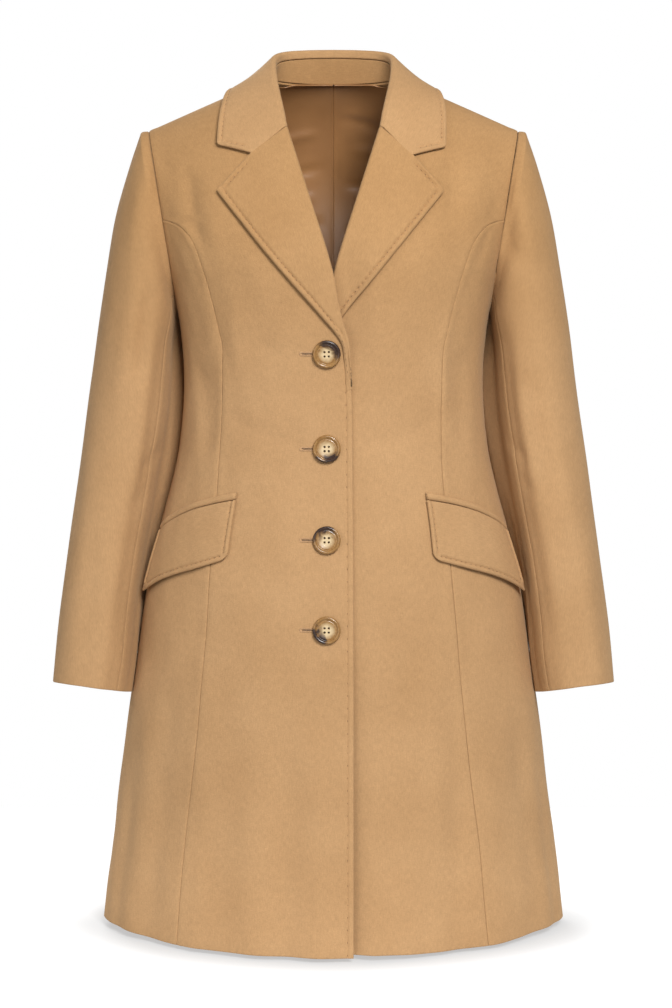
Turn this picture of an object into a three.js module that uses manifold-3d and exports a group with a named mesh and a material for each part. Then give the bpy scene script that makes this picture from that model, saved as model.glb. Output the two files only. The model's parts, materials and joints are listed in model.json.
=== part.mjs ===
// A woman's single-breasted wool overcoat, hollow, in the form that it has when it is worn.
//
// Millimetres. +Z is up, +X is the wearer's left, and the front faces -Y. The origin lies between the
// shoulders, at the height of the middle of the shoulder seams. Each cut and sewn piece is a wall of
// cloth: its outer face is a grid of points on the body's form, and its inner face lies one
// thickness inside. Each piece is worked out for the wearer's left and mirrored for the right.

import * as THREE from 'three';
import { mergeVertices } from 'three/addons/utils/BufferGeometryUtils.js';
import Module from 'manifold-3d';

const wasm = await Module();
wasm.setup();

// Driving dimensions
const WOOL = 2.6; // thickness of the coat cloth with its interlining
const FACED = 2.8; // thickness of lapels, collar and flaps
const SATIN = 1.0; // thickness of the lining
const SEAM = 0.3; // gap between two pieces where they are sewn
const SEATED = 0.35; // gap between a piece and the panel that it lies on
const COLLAR_SEAT = 1.1; // gap between the collar and the shoulders, which it bends over in wide steps

const HEM = -896;
const UNDERARM = -232;
const TIP = { x: 197, z: -39 }; // shoulder point, where the sleeve head starts
const SHOULDER_SLOPE = 0.447;
const NECK_ROUNDING = 30;
const NECK_Z = 16; // height of the neck seam behind
const FRONT = -1;
const BACK = 1;
const CAP = {
  [FRONT]: { start: -190, power: 1.6 }, // the chest slopes back from the bust to the shoulder seam
  [BACK]: { start: -130, power: 2.2 },
};

const rad = THREE.MathUtils.degToRad;
const { clamp, lerp, smoothstep } = THREE.MathUtils;

// A table of named columns, the first one rising. The function that it gives reads the table at any
// value of the first column, on a smooth curve through its rows.
function table(names, rows) {
  const keys = names.split(' ');
  const last = rows.length - 1;
  const slopes = rows.map((row, i) => {
    const below = rows[Math.max(i - 1, 0)];
    const above = rows[Math.min(i + 1, last)];
    return row.map((_, c) => (above[c] - below[c]) / (above[0] - below[0]));
  });
  return (t) => {
    const x = clamp(t, rows[0][0], rows[last][0]);
    let i = 0;
    while (i < last - 1 && x > rows[i + 1][0]) i += 1;
    const h = rows[i + 1][0] - rows[i][0];
    const u = (x - rows[i][0]) / h;
    const start = (1 + 2 * u) * (1 - u) ** 2;
    const end = u * u * (3 - 2 * u);
    const leave = u * (1 - u) ** 2 * h;
    const arrive = u * u * (u - 1) * h;
    const read = (c) => start * rows[i][c] + end * rows[i + 1][c]
      + leave * slopes[i][c] + arrive * slopes[i + 1][c];
    return Object.fromEntries(keys.map((key, c) => [key, read(c)]));
  };
}

// Rings of the body from hem to shoulder. Above the underarm the half width runs on past the
// armhole, which cuts the ring off. The last column is the power of the ring's curve, 2 in an ellipse.
const ring = table('z half front back round', [
  [-896, 252, 152, 158, 1.7],
  [-836, 245, 147, 153, 1.75],
  [-745, 233, 140, 147, 1.8],
  [-676, 224.5, 134, 142, 1.85],
  [-588, 211, 126, 136, 1.95],
  [-520, 200.5, 120, 130, 2.05],
  [-464, 187.5, 114, 122, 2.15],
  [-420, 175.5, 109, 112, 2.2],
  [-380, 166.5, 106, 103, 2.25],
  [-330, 161, 105, 96, 2.3],
  [-290, 160.5, 107, 95, 2.3],
  [-254, 163.5, 111, 98, 2.3],
  [-232, 167, 113, 101, 2.3],
  [-200, 174, 116, 106, 2.3],
  [-150, 191, 117, 111, 2.3],
  [-100, 209, 117, 112, 2.3],
  [-39, 230, 114, 110, 2.3],
]);

// The front edge, the roll line of the lapel above it, and the neck seam above the gorge, as the
// distance past the middle of the front on the wearer's own side.
const frontEdge = table('z x', [
  [-896, -21],
  [-600, -21],
  [-392, -20],
  [-299, -18.5],
  [-270, -14.5],
  [-236, -6],
  [-192, 3],
  [-119, 26],
  [-46, 49],
  [-20, 57],
  [17, 69],
]);

// The armhole, and the princess seams that end in it, before and behind.
const armhole = table('z x', [
  [-232, 167],
  [-220, 168.5],
  [-189, 171.5],
  [-158, 176],
  [-132, 180],
  [-113, 183],
  [-89, 187],
  [-66, 191.5],
  [-39, 197],
]);
const princess = {
  [FRONT]: table('z x', [
    [-896, 162],
    [-778, 151],
    [-681, 139],
    [-573, 129],
    [-494, 122],
    [-415, 114.5],
    [-376, 112.5],
    [-275, 113],
    [-248, 119],
    [-222, 126],
    [-167, 143],
    [-150, 154],
    [-141, 166],
    [-137, 179.2],
  ]),
  [BACK]: table('z x', [
    [-896, 150],
    [-700, 128],
    [-500, 104],
    [-380, 88],
    [-320, 84],
    [-250, 90],
    [-200, 112],
    [-170, 137],
    [-156, 158],
    [-150, 177.2],
  ]),
};
const JOIN_Z = { [FRONT]: -137, [BACK]: -150 };

// Body form

const shoulderHeight = (x) => TIP.z + SHOULDER_SLOPE * (TIP.x - Math.hypot(x, NECK_ROUNDING));
const signedPower = (value, power) => Math.sign(value) * Math.abs(value) ** power;

// A level is a height below the cap of its face. Above it, levels close over the shoulder seam.
function capAt(face, level) {
  const { start, power } = CAP[face];
  if (level <= start) return { rise: 0, draw: 1, z: level };
  const turn = Math.min((level - start) / (TIP.z - start), 1) * (Math.PI / 2);
  const rise = Math.sin(turn) ** (2 / power);
  return { rise, draw: Math.max(Math.cos(turn), 0) ** (2 / power), z: lerp(start, TIP.z, rise) };
}

// A point of the body's form: turn 0 is the middle of the front or back, a quarter turn the side.
function bodyPoint(face, turn, level) {
  const { rise, draw, z } = capAt(face, level);
  const size = ring(z);
  const x = size.half * signedPower(Math.sin(turn), 2 / size.round);
  const depth = (face === FRONT ? size.front : size.back) * draw;
  const y = face * depth * Math.abs(Math.cos(turn)) ** (2 / size.round);
  return new THREE.Vector3(x, y, rise > 0 ? lerp(CAP[face].start, shoulderHeight(x), rise) : z);
}

function levelAt(face, x, z) {
  const { start, power } = CAP[face];
  if (z <= start) return z;
  const rise = Math.min((z - start) / (shoulderHeight(x) - start), 1);
  return start + Math.asin(rise ** (power / 2)) / (Math.PI / 2) * (TIP.z - start);
}

function turnAt(face, x, level) {
  const size = ring(capAt(face, level).z);
  return Math.sign(x) * Math.asin(Math.min(Math.abs(x) / size.half, 1) ** (size.round / 2));
}

const onBody = (face, x, z) => {
  const level = levelAt(face, x, z);
  return bodyPoint(face, turnAt(face, x, level), level);
};

// How far a point is outside the body's form, as a plain number that is 0 on it.
function outside(p) {
  const face = p.y <= 0 ? FRONT : BACK;
  const { start, power } = CAP[face];
  const rise = Math.max((p.z - start) / (shoulderHeight(p.x) - start), 0);
  const size = ring(rise > 0 ? lerp(start, TIP.z, Math.min(rise, 1)) : p.z);
  const depth = face === FRONT ? size.front : size.back;
  const wide = (Math.abs(p.x) / size.half) ** size.round;
  if (rise === 0) return wide + (Math.abs(p.y) / depth) ** size.round - 1;
  const side = Math.max(1 - wide, 1e-6) ** (1 / size.round);
  return (Math.abs(p.y) / (depth * side)) ** power + rise ** power - 1;
}

const PROBE = 0.05;
const AXES = ['x', 'y', 'z'];

function slopeOf(p) {
  const slope = new THREE.Vector3();
  AXES.forEach((axis) => {
    const ahead = p.clone();
    const behind = p.clone();
    ahead[axis] += PROBE;
    behind[axis] -= PROBE;
    slope[axis] = (outside(ahead) - outside(behind)) / (2 * PROBE);
  });
  return slope;
}

const bodyNormal = (p) => slopeOf(p).normalize();

// Moves a point until it lies the given clearance above the body, or at least that.
function settle(point, clearance, exact) {
  const p = point.clone();
  for (let step = 0; step < 6; step += 1) {
    const slope = slopeOf(p);
    const steep = slope.length();
    const away = outside(p) / steep;
    if (exact || away < clearance) p.addScaledVector(slope, (clearance - away) / steep);
  }
  return p;
}

// Solves x = line(height of the body at x) for a seam that is given by its heights.
function crossing(face, level, line, low, high) {
  const { rise } = capAt(face, level);
  const start = CAP[face].start;
  const zAt = (x) => (rise > 0 ? lerp(start, shoulderHeight(x), rise) : level);
  let [a, b] = [low, high];
  for (let step = 0; step < 40; step += 1) {
    const x = (a + b) / 2;
    if (x > line(zAt(x))) b = x;
    else a = x;
  }
  return (a + b) / 2;
}

// Walls of cloth

// A closed wall between two grids of points of the same size.
function wallBetween(outer, inner) {
  const rows = outer.length;
  const cols = outer[0].length;
  const points = [...outer.flat(), ...inner.flat()];
  const out = (i, j) => i * cols + j;
  const ins = (i, j) => rows * cols + i * cols + j;
  const index = [];
  const quad = (a, b, c, d) => index.push(a, b, c, a, c, d);
  for (let i = 0; i < rows - 1; i += 1) {
    for (let j = 0; j < cols - 1; j += 1) {
      quad(out(i, j), out(i, j + 1), out(i + 1, j + 1), out(i + 1, j));
      quad(ins(i, j), ins(i + 1, j), ins(i + 1, j + 1), ins(i, j + 1));
    }
  }
  for (let j = 0; j < cols - 1; j += 1) {
    quad(out(0, j), ins(0, j), ins(0, j + 1), out(0, j + 1));
    quad(out(rows - 1, j), out(rows - 1, j + 1), ins(rows - 1, j + 1), ins(rows - 1, j));
  }
  for (let i = 0; i < rows - 1; i += 1) {
    quad(out(i, 0), out(i + 1, 0), ins(i + 1, 0), ins(i, 0));
    quad(out(i, cols - 1), ins(i, cols - 1), ins(i + 1, cols - 1), out(i + 1, cols - 1));
  }
  return closedMesh(points, index);
}

// Turns the faces of a closed mesh outwards, whichever way its grid ran.
function closedMesh(points, index) {
  let volume = 0;
  const cross = new THREE.Vector3();
  for (let t = 0; t < index.length; t += 3) {
    const [a, b, c] = [points[index[t]], points[index[t + 1]], points[index[t + 2]]];
    volume += a.dot(cross.crossVectors(b, c));
  }
  const faces = volume > 0 ? index : index.slice().reverse();
  const geometry = new THREE.BufferGeometry().setFromPoints(points);
  geometry.setIndex(faces);
  geometry.computeVertexNormals();
  return geometry;
}

const mirrored = (grid, side) => grid.map((row) => row.map((p) => p.clone().setX(p.x * side)));

// Draws the first and last rows or columns of a grid in from the seams that they meet.
function drawnIn(grid, { rows = [0, 0], cols = [0, 0] }) {
  const result = grid.map((row) => row.map((p) => p.clone()));
  const lastRow = grid.length - 1;
  const lastCol = grid[0].length - 1;
  const pull = (i, j, towards, by) => {
    const way = towards.clone().sub(grid[i][j]);
    if (way.length() > by) result[i][j].addScaledVector(way.normalize(), by);
  };
  for (let j = 0; j <= lastCol; j += 1) {
    pull(0, j, grid[1][j], rows[0]);
    pull(lastRow, j, grid[lastRow - 1][j], rows[1]);
  }
  for (let i = 0; i <= lastRow; i += 1) {
    pull(i, 0, grid[i][1], cols[0]);
    pull(i, lastCol, grid[i][lastCol - 1], cols[1]);
  }
  return result;
}

// A panel on the body's form, lowered into it by a depth that may change over the panel.
function bodyPanel(grid, gaps, side, thickness, depthAt = () => 0) {
  const drawn = drawnIn(grid, gaps);
  const normals = drawn.map((row) => row.map((p) => bodyNormal(p)));
  const face = (extra) => mirrored(drawn.map((row, i) => row.map((p, j) => (
    p.clone().addScaledVector(normals[i][j], -depthAt(p) - extra)
  ))), side);
  return wallBetween(face(0), face(thickness));
}

const steps = (count) => Array.from({ length: count + 1 }, (_, i) => i / count);

// Rows of the body panels, as heights; those in the cap are read at the armhole.
const LOW_ROWS = [-896, -830, -760, -690, -620, -550, -495, -445, -400, -355, -315, -280, -255, -232, -211];
const CAP_ROWS = {
  [FRONT]: [-190, -170, -156, -147, -141, -137, -125, -108, -88, -68, -52],
  [BACK]: [-190, -172, -160, -154, -150, -140, -125, -104, -82, -62, -48],
};

function rowLevels(face, from, to) {
  const heights = [...LOW_ROWS, ...CAP_ROWS[face]].filter((z) => z >= from && z <= to);
  return heights.map((z) => levelAt(face, armhole(z).x, z));
}

const outerSeam = (face, level) => {
  const line = (z) => (z >= JOIN_Z[face] ? armhole(z).x : princess[face](z).x);
  return crossing(face, level, line, 60, 205);
};

function frontGrid(columns) {
  const levels = [...rowLevels(FRONT, HEM, -40), TIP.z];
  return levels.map((level) => {
    const inner = turnAt(FRONT, crossing(FRONT, level, (z) => frontEdge(z).x, -40, 90), level);
    const outer = turnAt(FRONT, outerSeam(FRONT, level), level);
    return steps(columns).map((c) => bodyPoint(FRONT, lerp(inner, outer, c), level));
  });
}

function backGrid(columns) {
  const levels = [...rowLevels(BACK, HEM, -40), TIP.z];
  const start = CAP[BACK].start;
  return levels.map((level) => {
    const outer = turnAt(BACK, outerSeam(BACK, level), level);
    return steps(columns).map((c) => {
      const flat = bodyPoint(BACK, outer * c, level);
      const top = levelAt(BACK, flat.x, Math.min(NECK_Z, shoulderHeight(flat.x)));
      const share = Math.max(level - start, 0) / (TIP.z - start);
      const lowered = share > 0 ? lerp(start, top, share) : level;
      return bodyPoint(BACK, turnAt(BACK, flat.x, lowered), lowered);
    });
  });
}

function sideGrid(face, columns) {
  const levels = rowLevels(face, HEM, JOIN_Z[face] - 1);
  return levels.map((level) => {
    const inner = turnAt(face, crossing(face, level, (z) => princess[face](z).x, 60, 205), level);
    const atArmhole = crossing(face, level, (z) => armhole(z).x, 60, 205);
    const outer = level <= UNDERARM ? Math.PI / 2 : turnAt(face, atArmhole, level);
    return steps(columns).map((c) => bodyPoint(face, lerp(inner, outer, c), level));
  });
}

// The wearer's left front lies under the right one, deeper where its own lapel lies between them.
const underLap = table('z depth', [
  [-896, 3.5],
  [-310, 3.5],
  [-265, 8.5],
  [-195, 8.5],
  [-150, 4],
  [-105, 0],
  [20, 0],
]);
const lapDepth = (p) => underLap(p.z).depth * (1 - smoothstep(p.x, 16, 62));

// Back lining, one piece on each side of its middle seam, from the neck seam to above the hem

const LINING_HEM = -868;
const LINING_GAP = 2.4; // the lining hangs free of the back
const LINING_DROP = 1.5; // how far its top stays below the shoulder seam's level

function liningGrid(columns) {
  const levels = [LINING_HEM, ...rowLevels(BACK, LINING_HEM + 20, -40), TIP.z - LINING_DROP];
  const start = CAP[BACK].start;
  return levels.map((level) => {
    const atArmhole = crossing(BACK, level, (z) => armhole(z).x, 60, 205);
    const reach = level <= UNDERARM ? rad(82) : turnAt(BACK, atArmhole, level);
    return steps(columns).map((c) => {
      const flat = bodyPoint(BACK, reach * c * 0.98, level);
      const top = levelAt(BACK, flat.x, Math.min(NECK_Z - 1, shoulderHeight(flat.x)));
      const share = Math.max(level - start, 0) / (TIP.z - start);
      const lowered = share > 0 ? lerp(start, top, share) : level;
      return bodyPoint(BACK, turnAt(BACK, flat.x, lowered), lowered);
    });
  });
}

// Lapels: each turns over the roll line and lies on its front

const GORGE = { x: 49, z: -46 };
const LAPEL_BREAK_Z = -262;
const LAPEL_SEAT = 0.8; // gap between a lapel and its front, which bends more than the lapel's facets
const rollRadius = (z) => lerp(2.4, 3.8, clamp((z - LAPEL_BREAK_Z) / 120, 0, 1));
const ROLL_DROP = 1.6; // how far the roll reaches below the face of the front
const ROLL_PAST = 2.9; // how far it reaches past the front's edge
const lapelEdge = table('p x z', [
  [0, 114, -110],
  [0.4, 64.5, -171],
  [0.76, 13.5, -234],
  [1, -7, -264],
]);

// Height of a turned-over piece above its panel, at a distance from the roll.
function turnedHeight(distance, radius) {
  const high = 2 * radius - ROLL_DROP;
  const low = FACED + LAPEL_SEAT;
  return low + (high - low) * Math.exp(-((distance / 16) ** 2));
}

const ROLL_TURNS = [228, 200, 172, 144, 117].map(rad);

function lapelFrame(p) {
  const z = lerp(GORGE.z, LAPEL_BREAK_Z, p);
  const root = { x: frontEdge(z).x, z };
  const tip = lapelEdge(p);
  const base = onBody(FRONT, root.x, root.z);
  const up = bodyNormal(base);
  const over = onBody(FRONT, lerp(root.x, tip.x, 0.1), lerp(root.z, tip.z, 0.1)).sub(base);
  over.addScaledVector(up, -over.dot(up)).normalize();
  const radius = rollRadius(z);
  const centre = base.clone().addScaledVector(up, radius - ROLL_DROP)
    .addScaledVector(over, radius - ROLL_PAST);
  return { root, tip, up, over, radius, centre };
}

function lapelGrids(rows, columns, depthAt) {
  const outer = [];
  const inner = [];
  steps(rows).forEach((p) => {
    const { root, tip, up, over, radius, centre } = lapelFrame(p);
    const length = Math.hypot(tip.x - root.x, tip.z - root.z);
    const low = -depthAt(centre);
    const around = (turn, r) => centre.clone().addScaledVector(over, r * Math.cos(turn))
      .addScaledVector(up, r * Math.sin(turn) + low);
    const rollOut = ROLL_TURNS.map((turn) => around(turn, radius));
    const rollIn = ROLL_TURNS.map((turn) => around(turn, Math.max(radius - FACED, 0.35)));
    const start = Math.min((radius - ROLL_PAST + 1) / length, 0.3);
    const lay = (share, sunk) => {
      const base = onBody(FRONT, lerp(root.x, tip.x, share), lerp(root.z, tip.z, share));
      const height = turnedHeight(share * length, radius) - depthAt(base) - sunk;
      return base.clone().addScaledVector(bodyNormal(base), height);
    };
    const shares = steps(columns).map((c) => lerp(start, 1, c));
    outer.push([...rollOut, ...shares.map((share) => lay(share, 0))]);
    inner.push([...rollIn, ...shares.map((share) => lay(share, FACED))]);
  });
  return [outer, inner];
}

// Collar: half of it, from the front end at the gorge to the middle of the back

const collarRoll = table('w x y z', [
  [0.2, 57, -50, -15],
  [0.38, 62.3, -24, 9],
  [0.5, 64.6, -2, 26.5],
  [0.61, 63.5, 18, 38.5],
  [0.74, 53, 38, 45.5],
  [0.88, 28.5, 50.5, 49],
  [1, 0, 54.5, 50],
]);
const collarEdge = table('w x y z', [
  [0, 119.5, -62, -62],
  [0.2, 119, -46, -36],
  [0.38, 116.5, -26, -13],
  [0.5, 113, -3, 3],
  [0.61, 108, 26, 0],
  [0.74, 90, 58, -12],
  [0.88, 51, 82, -19],
  [1, 0, 90, -21],
]);
const neckSeam = table('w x z', [
  [0, 49, -46],
  [0.2, 57, -20],
  [0.38, 65.5, 7],
  [0.5, 69, NECK_Z],
  [0.62, 62, NECK_Z],
  [0.76, 44, NECK_Z],
  [1, 0, NECK_Z],
]);
const NOTCH_SHARE = 0.43; // how far along its front end the collar leaves the lapel
const NOTCH_DIP = 25; // how far that end bends down there
const COLLAR_RADIUS = 3.8;
const INSIDE = 6; // how far the fall reaches down inside the neck

function collarFrame(w) {
  const lapel = lapelFrame(0);
  const first = lapel.centre;
  const free = new THREE.Vector3().copy(collarRoll(w));
  const near = smoothstep(w, 0, 0.2);
  const joined = first.clone().lerp(new THREE.Vector3().copy(collarRoll(0.2)), w / 0.2);
  const centre = w < 0.2 ? joined : free;
  const edge = settle(new THREE.Vector3().copy(collarEdge(w)), FACED + COLLAR_SEAT, true);
  const upright = new THREE.Vector3(0, 0, 1);
  const up = lapel.up.clone().lerp(upright, smoothstep(w, 0, 0.5)).normalize();
  const over = edge.clone().sub(centre);
  over.addScaledVector(up, -over.dot(up)).normalize();
  if (near < 1) over.lerp(lapel.over, 1 - near).addScaledVector(up, -over.dot(up)).normalize();
  return { centre, edge, up, over };
}

// The visible face of the fall at one station: up inside the neck, over the roll and down outside.
function collarLine(w, columns, inset) {
  const { centre, edge, up, over } = collarFrame(w);
  const radius = COLLAR_RADIUS - inset;
  const within = smoothstep(w, 0.05, 0.4);
  const toEdge = edge.clone().sub(centre);
  const fallTurn = Math.atan2(toEdge.dot(up), toEdge.dot(over));
  const leave = Math.PI / 2 + fallTurn * within;
  const around = (turn) => centre.clone().addScaledVector(over, radius * Math.cos(turn))
    .addScaledVector(up, radius * Math.sin(turn));
  const first = Math.PI + rad(48) * (1 - within);
  const line = [around(first).addScaledVector(up, -INSIDE * within)];
  steps(4).forEach((s) => line.push(around(lerp(lerp(rad(200), Math.PI, within), leave, s * 0.92))));
  const from = around(leave);
  const bend = (1 - smoothstep(w, 0, 0.36)) * NOTCH_DIP;
  steps(columns).slice(1).forEach((share) => {
    const p = from.clone().lerp(edge, share);
    const towards = share < NOTCH_SHARE ? share / NOTCH_SHARE : (1 - share) / (1 - NOTCH_SHARE);
    p.z -= bend * towards;
    const distance = p.distanceTo(centre);
    const rolled = turnedHeight(distance, COLLAR_RADIUS) - inset;
    const flat = FACED + COLLAR_SEAT - inset;
    line.push(settle(p, lerp(rolled, flat, within), share === 1));
  });
  return line;
}

const COLLAR_STATIONS = [0, 0.04, 0.1, 0.17, 0.24, 0.32, 0.4, 0.48, 0.56, 0.64, 0.72, 0.8, 0.9, 1];

const bothHalves = (half) => {
  const right = mirrored(half, -1);
  return [...right, ...half.slice(0, -1).reverse()];
};

function collarFall() {
  const outer = COLLAR_STATIONS.map((w) => collarLine(w, 6, 0));
  const inner = COLLAR_STATIONS.map((w) => collarLine(w, 6, FACED));
  // The ends stand off the gorge by the seam gap.
  const shift = outer[1][4].clone().sub(outer[0][4]).normalize().multiplyScalar(SEAM);
  [outer[0], inner[0]].forEach((line) => line.forEach((p) => p.add(shift)));
  return wallBetween(bothHalves(outer), bothHalves(inner));
}

function standGrid() {
  const stations = COLLAR_STATIONS.filter((w) => w >= 0.17);
  return stations.map((w) => {
    const { up } = collarFrame(w);
    const top = collarLine(w, 2, 0)[0].addScaledVector(up, -SEAM);
    const seam = neckSeam(w);
    const foot = w < 0.5
      ? onBody(FRONT, seam.x, seam.z)
      : onBody(BACK, seam.x, Math.min(seam.z, shoulderHeight(seam.x)));
    foot.addScaledVector(up, SEAM * 1.5);
    return steps(3).map((s) => foot.clone().lerp(top, s));
  });
}

function collarStand() {
  const half = standGrid();
  const outward = half.map((row) => row.map((p) => {
    const away = new THREE.Vector3(p.x, p.y, 0);
    return away.normalize();
  }));
  const thick = half.map((row, i) => row.map((p, j) => p.clone().addScaledVector(outward[i][j], WOOL)));
  return wallBetween(bothHalves(thick), bothHalves(half));
}

// Sleeves: rings from the sleeve head to the cuff. Ring 0 is the armhole. The outer point of a ring
// is at turn 0, its front at a quarter turn, and its inner point, next to the body, at half a turn.
// Lean is the slope by which a ring's front lies higher than its back, as the arm bends forwards.

const sleeveRing = table('k outX outZ inX inZ y depth lean', [
  [1, 206.5, -42, 168.4, -240, 7, 60, 0],
  [2, 218.5, -77, 167.6, -253, 6, 64, 0],
  [3, 232, -126, 166.6, -268, 5, 65, 0],
  [4, 242, -180, 165.6, -285, 4, 64, 0],
  [5, 252, -240, 164.6, -305, 3, 62, 0],
  [6, 260, -300, 165.8, -334, 2, 60, 0.02],
  [7, 268.5, -362, 171.2, -374, 0, 58, 0.05],
  [8, 277, -422, 181.8, -428, -3, 56, 0.08],
  [9, 286, -484, 196, -491, -8, 54, 0.11],
  [10, 295, -557, 210.5, -566, -15, 51, 0.14],
  [11, 302.5, -630, 222.5, -641, -22, 48, 0.16],
]);
const SLEEVE_ROWS = [0, 0.3, 0.65, 1, 1.5, 2, 2.6, 3.3, 4, 5, 6, 7, 8, 9, 10, 11];
const FRONT_SEAM = rad(144);
const BACK_SEAM = rad(240);

function armholePoint(turn) {
  const middle = (TIP.z + UNDERARM) / 2;
  const z = middle + (TIP.z - UNDERARM) / 2 * Math.cos(turn);
  const face = Math.sin(turn) >= 0 ? FRONT : BACK;
  return onBody(face, armhole(z).x, z);
}

function sleevePoint(turn, k) {
  const size = sleeveRing(Math.max(k, 1));
  const centre = new THREE.Vector3((size.outX + size.inX) / 2, size.y, (size.outZ + size.inZ) / 2);
  const reach = new THREE.Vector3((size.outX - size.inX) / 2, 0, (size.outZ - size.inZ) / 2);
  const p = centre.addScaledVector(reach, Math.cos(turn));
  p.y -= size.depth * Math.sin(turn);
  p.z += size.lean * size.depth * Math.sin(turn);
  return k >= 1 ? p : armholePoint(turn).lerp(p, k);
}

function sleeveNormal(turn, k) {
  const d = 0.01;
  const around = sleevePoint(turn + d, k).sub(sleevePoint(turn - d, k));
  const along = sleevePoint(turn, Math.min(k + d, 11)).sub(sleevePoint(turn, Math.max(k - d, 0)));
  return around.cross(along).normalize();
}

function sleeveWall(fromTurn, toTurn, columns, side) {
  const place = (k, c, inset) => {
    const turn = lerp(fromTurn, toTurn, c);
    return sleevePoint(turn, k).addScaledVector(sleeveNormal(turn, k), -inset);
  };
  const grid = (inset) => {
    const points = SLEEVE_ROWS.map((k) => steps(columns).map((c) => place(k, c, inset)));
    return mirrored(drawnIn(points, { rows: [SEAM, 0], cols: [SEAM / 2, SEAM / 2] }), side);
  };
  return wallBetween(grid(0), grid(WOOL));
}

// Pockets: a slanted flap hangs from under a narrow welt

const flap = table('c turn top foot drop lift', [
  [0, 32.2, -428, 33, -487, 0],
  [0.25, 43, -434, 44, -497, 0.3],
  [0.5, 54, -442, 55, -505, 0.8],
  [0.75, 65, -453, 66, -515, 1.8],
  [1, 76, -466, 77.5, -528, 4],
]);
const WELT = 7.5;
const POCKET_SEAT = 1; // gap between a welt and the panels, which curve in at the waist

function flapGrids(columns, rows) {
  const grid = (sunk) => steps(columns).map((c) => {
    const at = flap(c);
    return steps(rows).map((r) => {
      const corner = 5 * Math.max(0, 1 - c * columns) * Math.max(0, 1 - (1 - r) * rows);
      const z = lerp(at.top, at.drop, r) + corner;
      const base = bodyPoint(FRONT, rad(lerp(at.turn, at.foot, r)), z);
      const height = FACED + POCKET_SEAT + 0.6 + at.lift * r - sunk;
      return base.addScaledVector(bodyNormal(base), height);
    });
  });
  return [grid(0), grid(FACED)];
}

function weltGrids(columns) {
  const grid = (sunk) => steps(columns).map((c) => {
    const at = flap(c);
    return steps(2).map((r) => {
      const z = at.top + SEAM + 0.2 + WELT * r;
      const base = bodyPoint(FRONT, rad(at.turn), z);
      const thick = 2.2 + 1.4 * Math.sin(Math.PI * r);
      return base.addScaledVector(bodyNormal(base), POCKET_SEAT + thick * (1 - sunk));
    });
  });
  return [grid(0), grid(1)];
}

// Buttons: turned discs with a raised rim, a dished middle and four holes

const BUTTON = { radius: 14.4, thick: 4.6, x: -6.8, hole: 1.05, pitch: 2.15, sides: 22 };
const BUTTON_Z = [-277, -374.5, -468, -560];

function asSolid(geometry) {
  const bare = geometry.clone();
  bare.deleteAttribute('normal');
  bare.deleteAttribute('uv');
  const merged = mergeVertices(bare, 1e-4);
  return new wasm.Manifold(new wasm.Mesh({
    numProp: 3,
    vertProperties: new Float32Array(merged.attributes.position.array),
    triVerts: new Uint32Array(merged.index.array),
  }));
}

function asGeometry(solid) {
  const mesh = solid.getMesh();
  const geometry = new THREE.BufferGeometry();
  geometry.setAttribute('position', new THREE.BufferAttribute(mesh.vertProperties, 3));
  geometry.setIndex(new THREE.BufferAttribute(mesh.triVerts, 1));
  geometry.computeVertexNormals();
  return geometry;
}

function buttonGeometry() {
  const { radius, thick, hole, pitch, sides } = BUTTON;
  const profile = [
    [0, 0],
    [radius - 2.2, 0],
    [radius - 0.4, 1.5],
    [radius, 2.8],
    [radius - 0.9, thick - 0.2],
    [radius - 2.2, thick],
    [radius - 4.2, thick - 1.4],
    [radius - 6.6, thick - 1.9],
    [0, thick - 2.1],
  ].map(([r, h]) => new THREE.Vector2(r, h));
  const disc = asSolid(new THREE.LatheGeometry(profile, sides));
  const drill = new THREE.CylinderGeometry(hole, hole, thick * 3, 8);
  const corners = [[1, 1], [1, -1], [-1, 1], [-1, -1]];
  const drilled = corners.reduce((body, [sx, sy]) => {
    const place = new THREE.Matrix4().makeTranslation(sx * pitch, 0, sy * pitch);
    return body.subtract(asSolid(drill.clone().applyMatrix4(place)));
  }, disc);
  return asGeometry(drilled);
}

// Materials

const material = (color, roughness) => new THREE.MeshStandardMaterial({ color, roughness, metalness: 0 });
const WOOL_COLOUR = 0xc59f71;
const SATIN_COLOUR = 0xa97c56;
const HORN_COLOUR = 0xa5794a;

const coat = new THREE.Group();

function add(name, geometry, color, roughness) {
  const mesh = new THREE.Mesh(geometry, material(color, roughness));
  mesh.name = name;
  coat.add(mesh);
  return mesh;
}

const wool = (name, geometry) => add(name, geometry, WOOL_COLOUR, 0.9);

// The pieces, for the wearer's right (side -1) and left (side 1)

const half = SEAM / 2;
const PANEL_GAPS = { rows: [0, half], cols: [half, half] };
const LINING_GAPS = { rows: [0, 0], cols: [half, 0] };

[['right', -1, () => 0], ['left', 1, lapDepth]].forEach(([hand, side, depthAt]) => {
  wool(`front_${hand}`, bodyPanel(frontGrid(9), PANEL_GAPS, side, WOOL, depthAt));
  wool(`side_front_${hand}`, bodyPanel(sideGrid(FRONT, 6), PANEL_GAPS, side, WOOL));
  wool(`side_back_${hand}`, bodyPanel(sideGrid(BACK, 6), PANEL_GAPS, side, WOOL));
  wool(`back_${hand}`, bodyPanel(backGrid(7), PANEL_GAPS, side, WOOL));
  const lining = bodyPanel(liningGrid(7), LINING_GAPS, side, SATIN, () => WOOL + LINING_GAP);
  add(`lining_back_${hand}`, lining, SATIN_COLOUR, 0.4);

  wool(`top_sleeve_${hand}`, sleeveWall(BACK_SEAM - 2 * Math.PI, FRONT_SEAM, 13, side));
  wool(`under_sleeve_${hand}`, sleeveWall(FRONT_SEAM, BACK_SEAM, 5, side));

  const layOn = (name, [outer, inner]) => {
    wool(`${name}_${hand}`, wallBetween(mirrored(outer, side), mirrored(inner, side)));
  };
  layOn('lapel', lapelGrids(11, 5, depthAt));
  layOn('flap', flapGrids(7, 3));
  layOn('welt', weltGrids(7));
});

wool('collar_fall', collarFall());
wool('collar_stand', collarStand());

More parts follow.
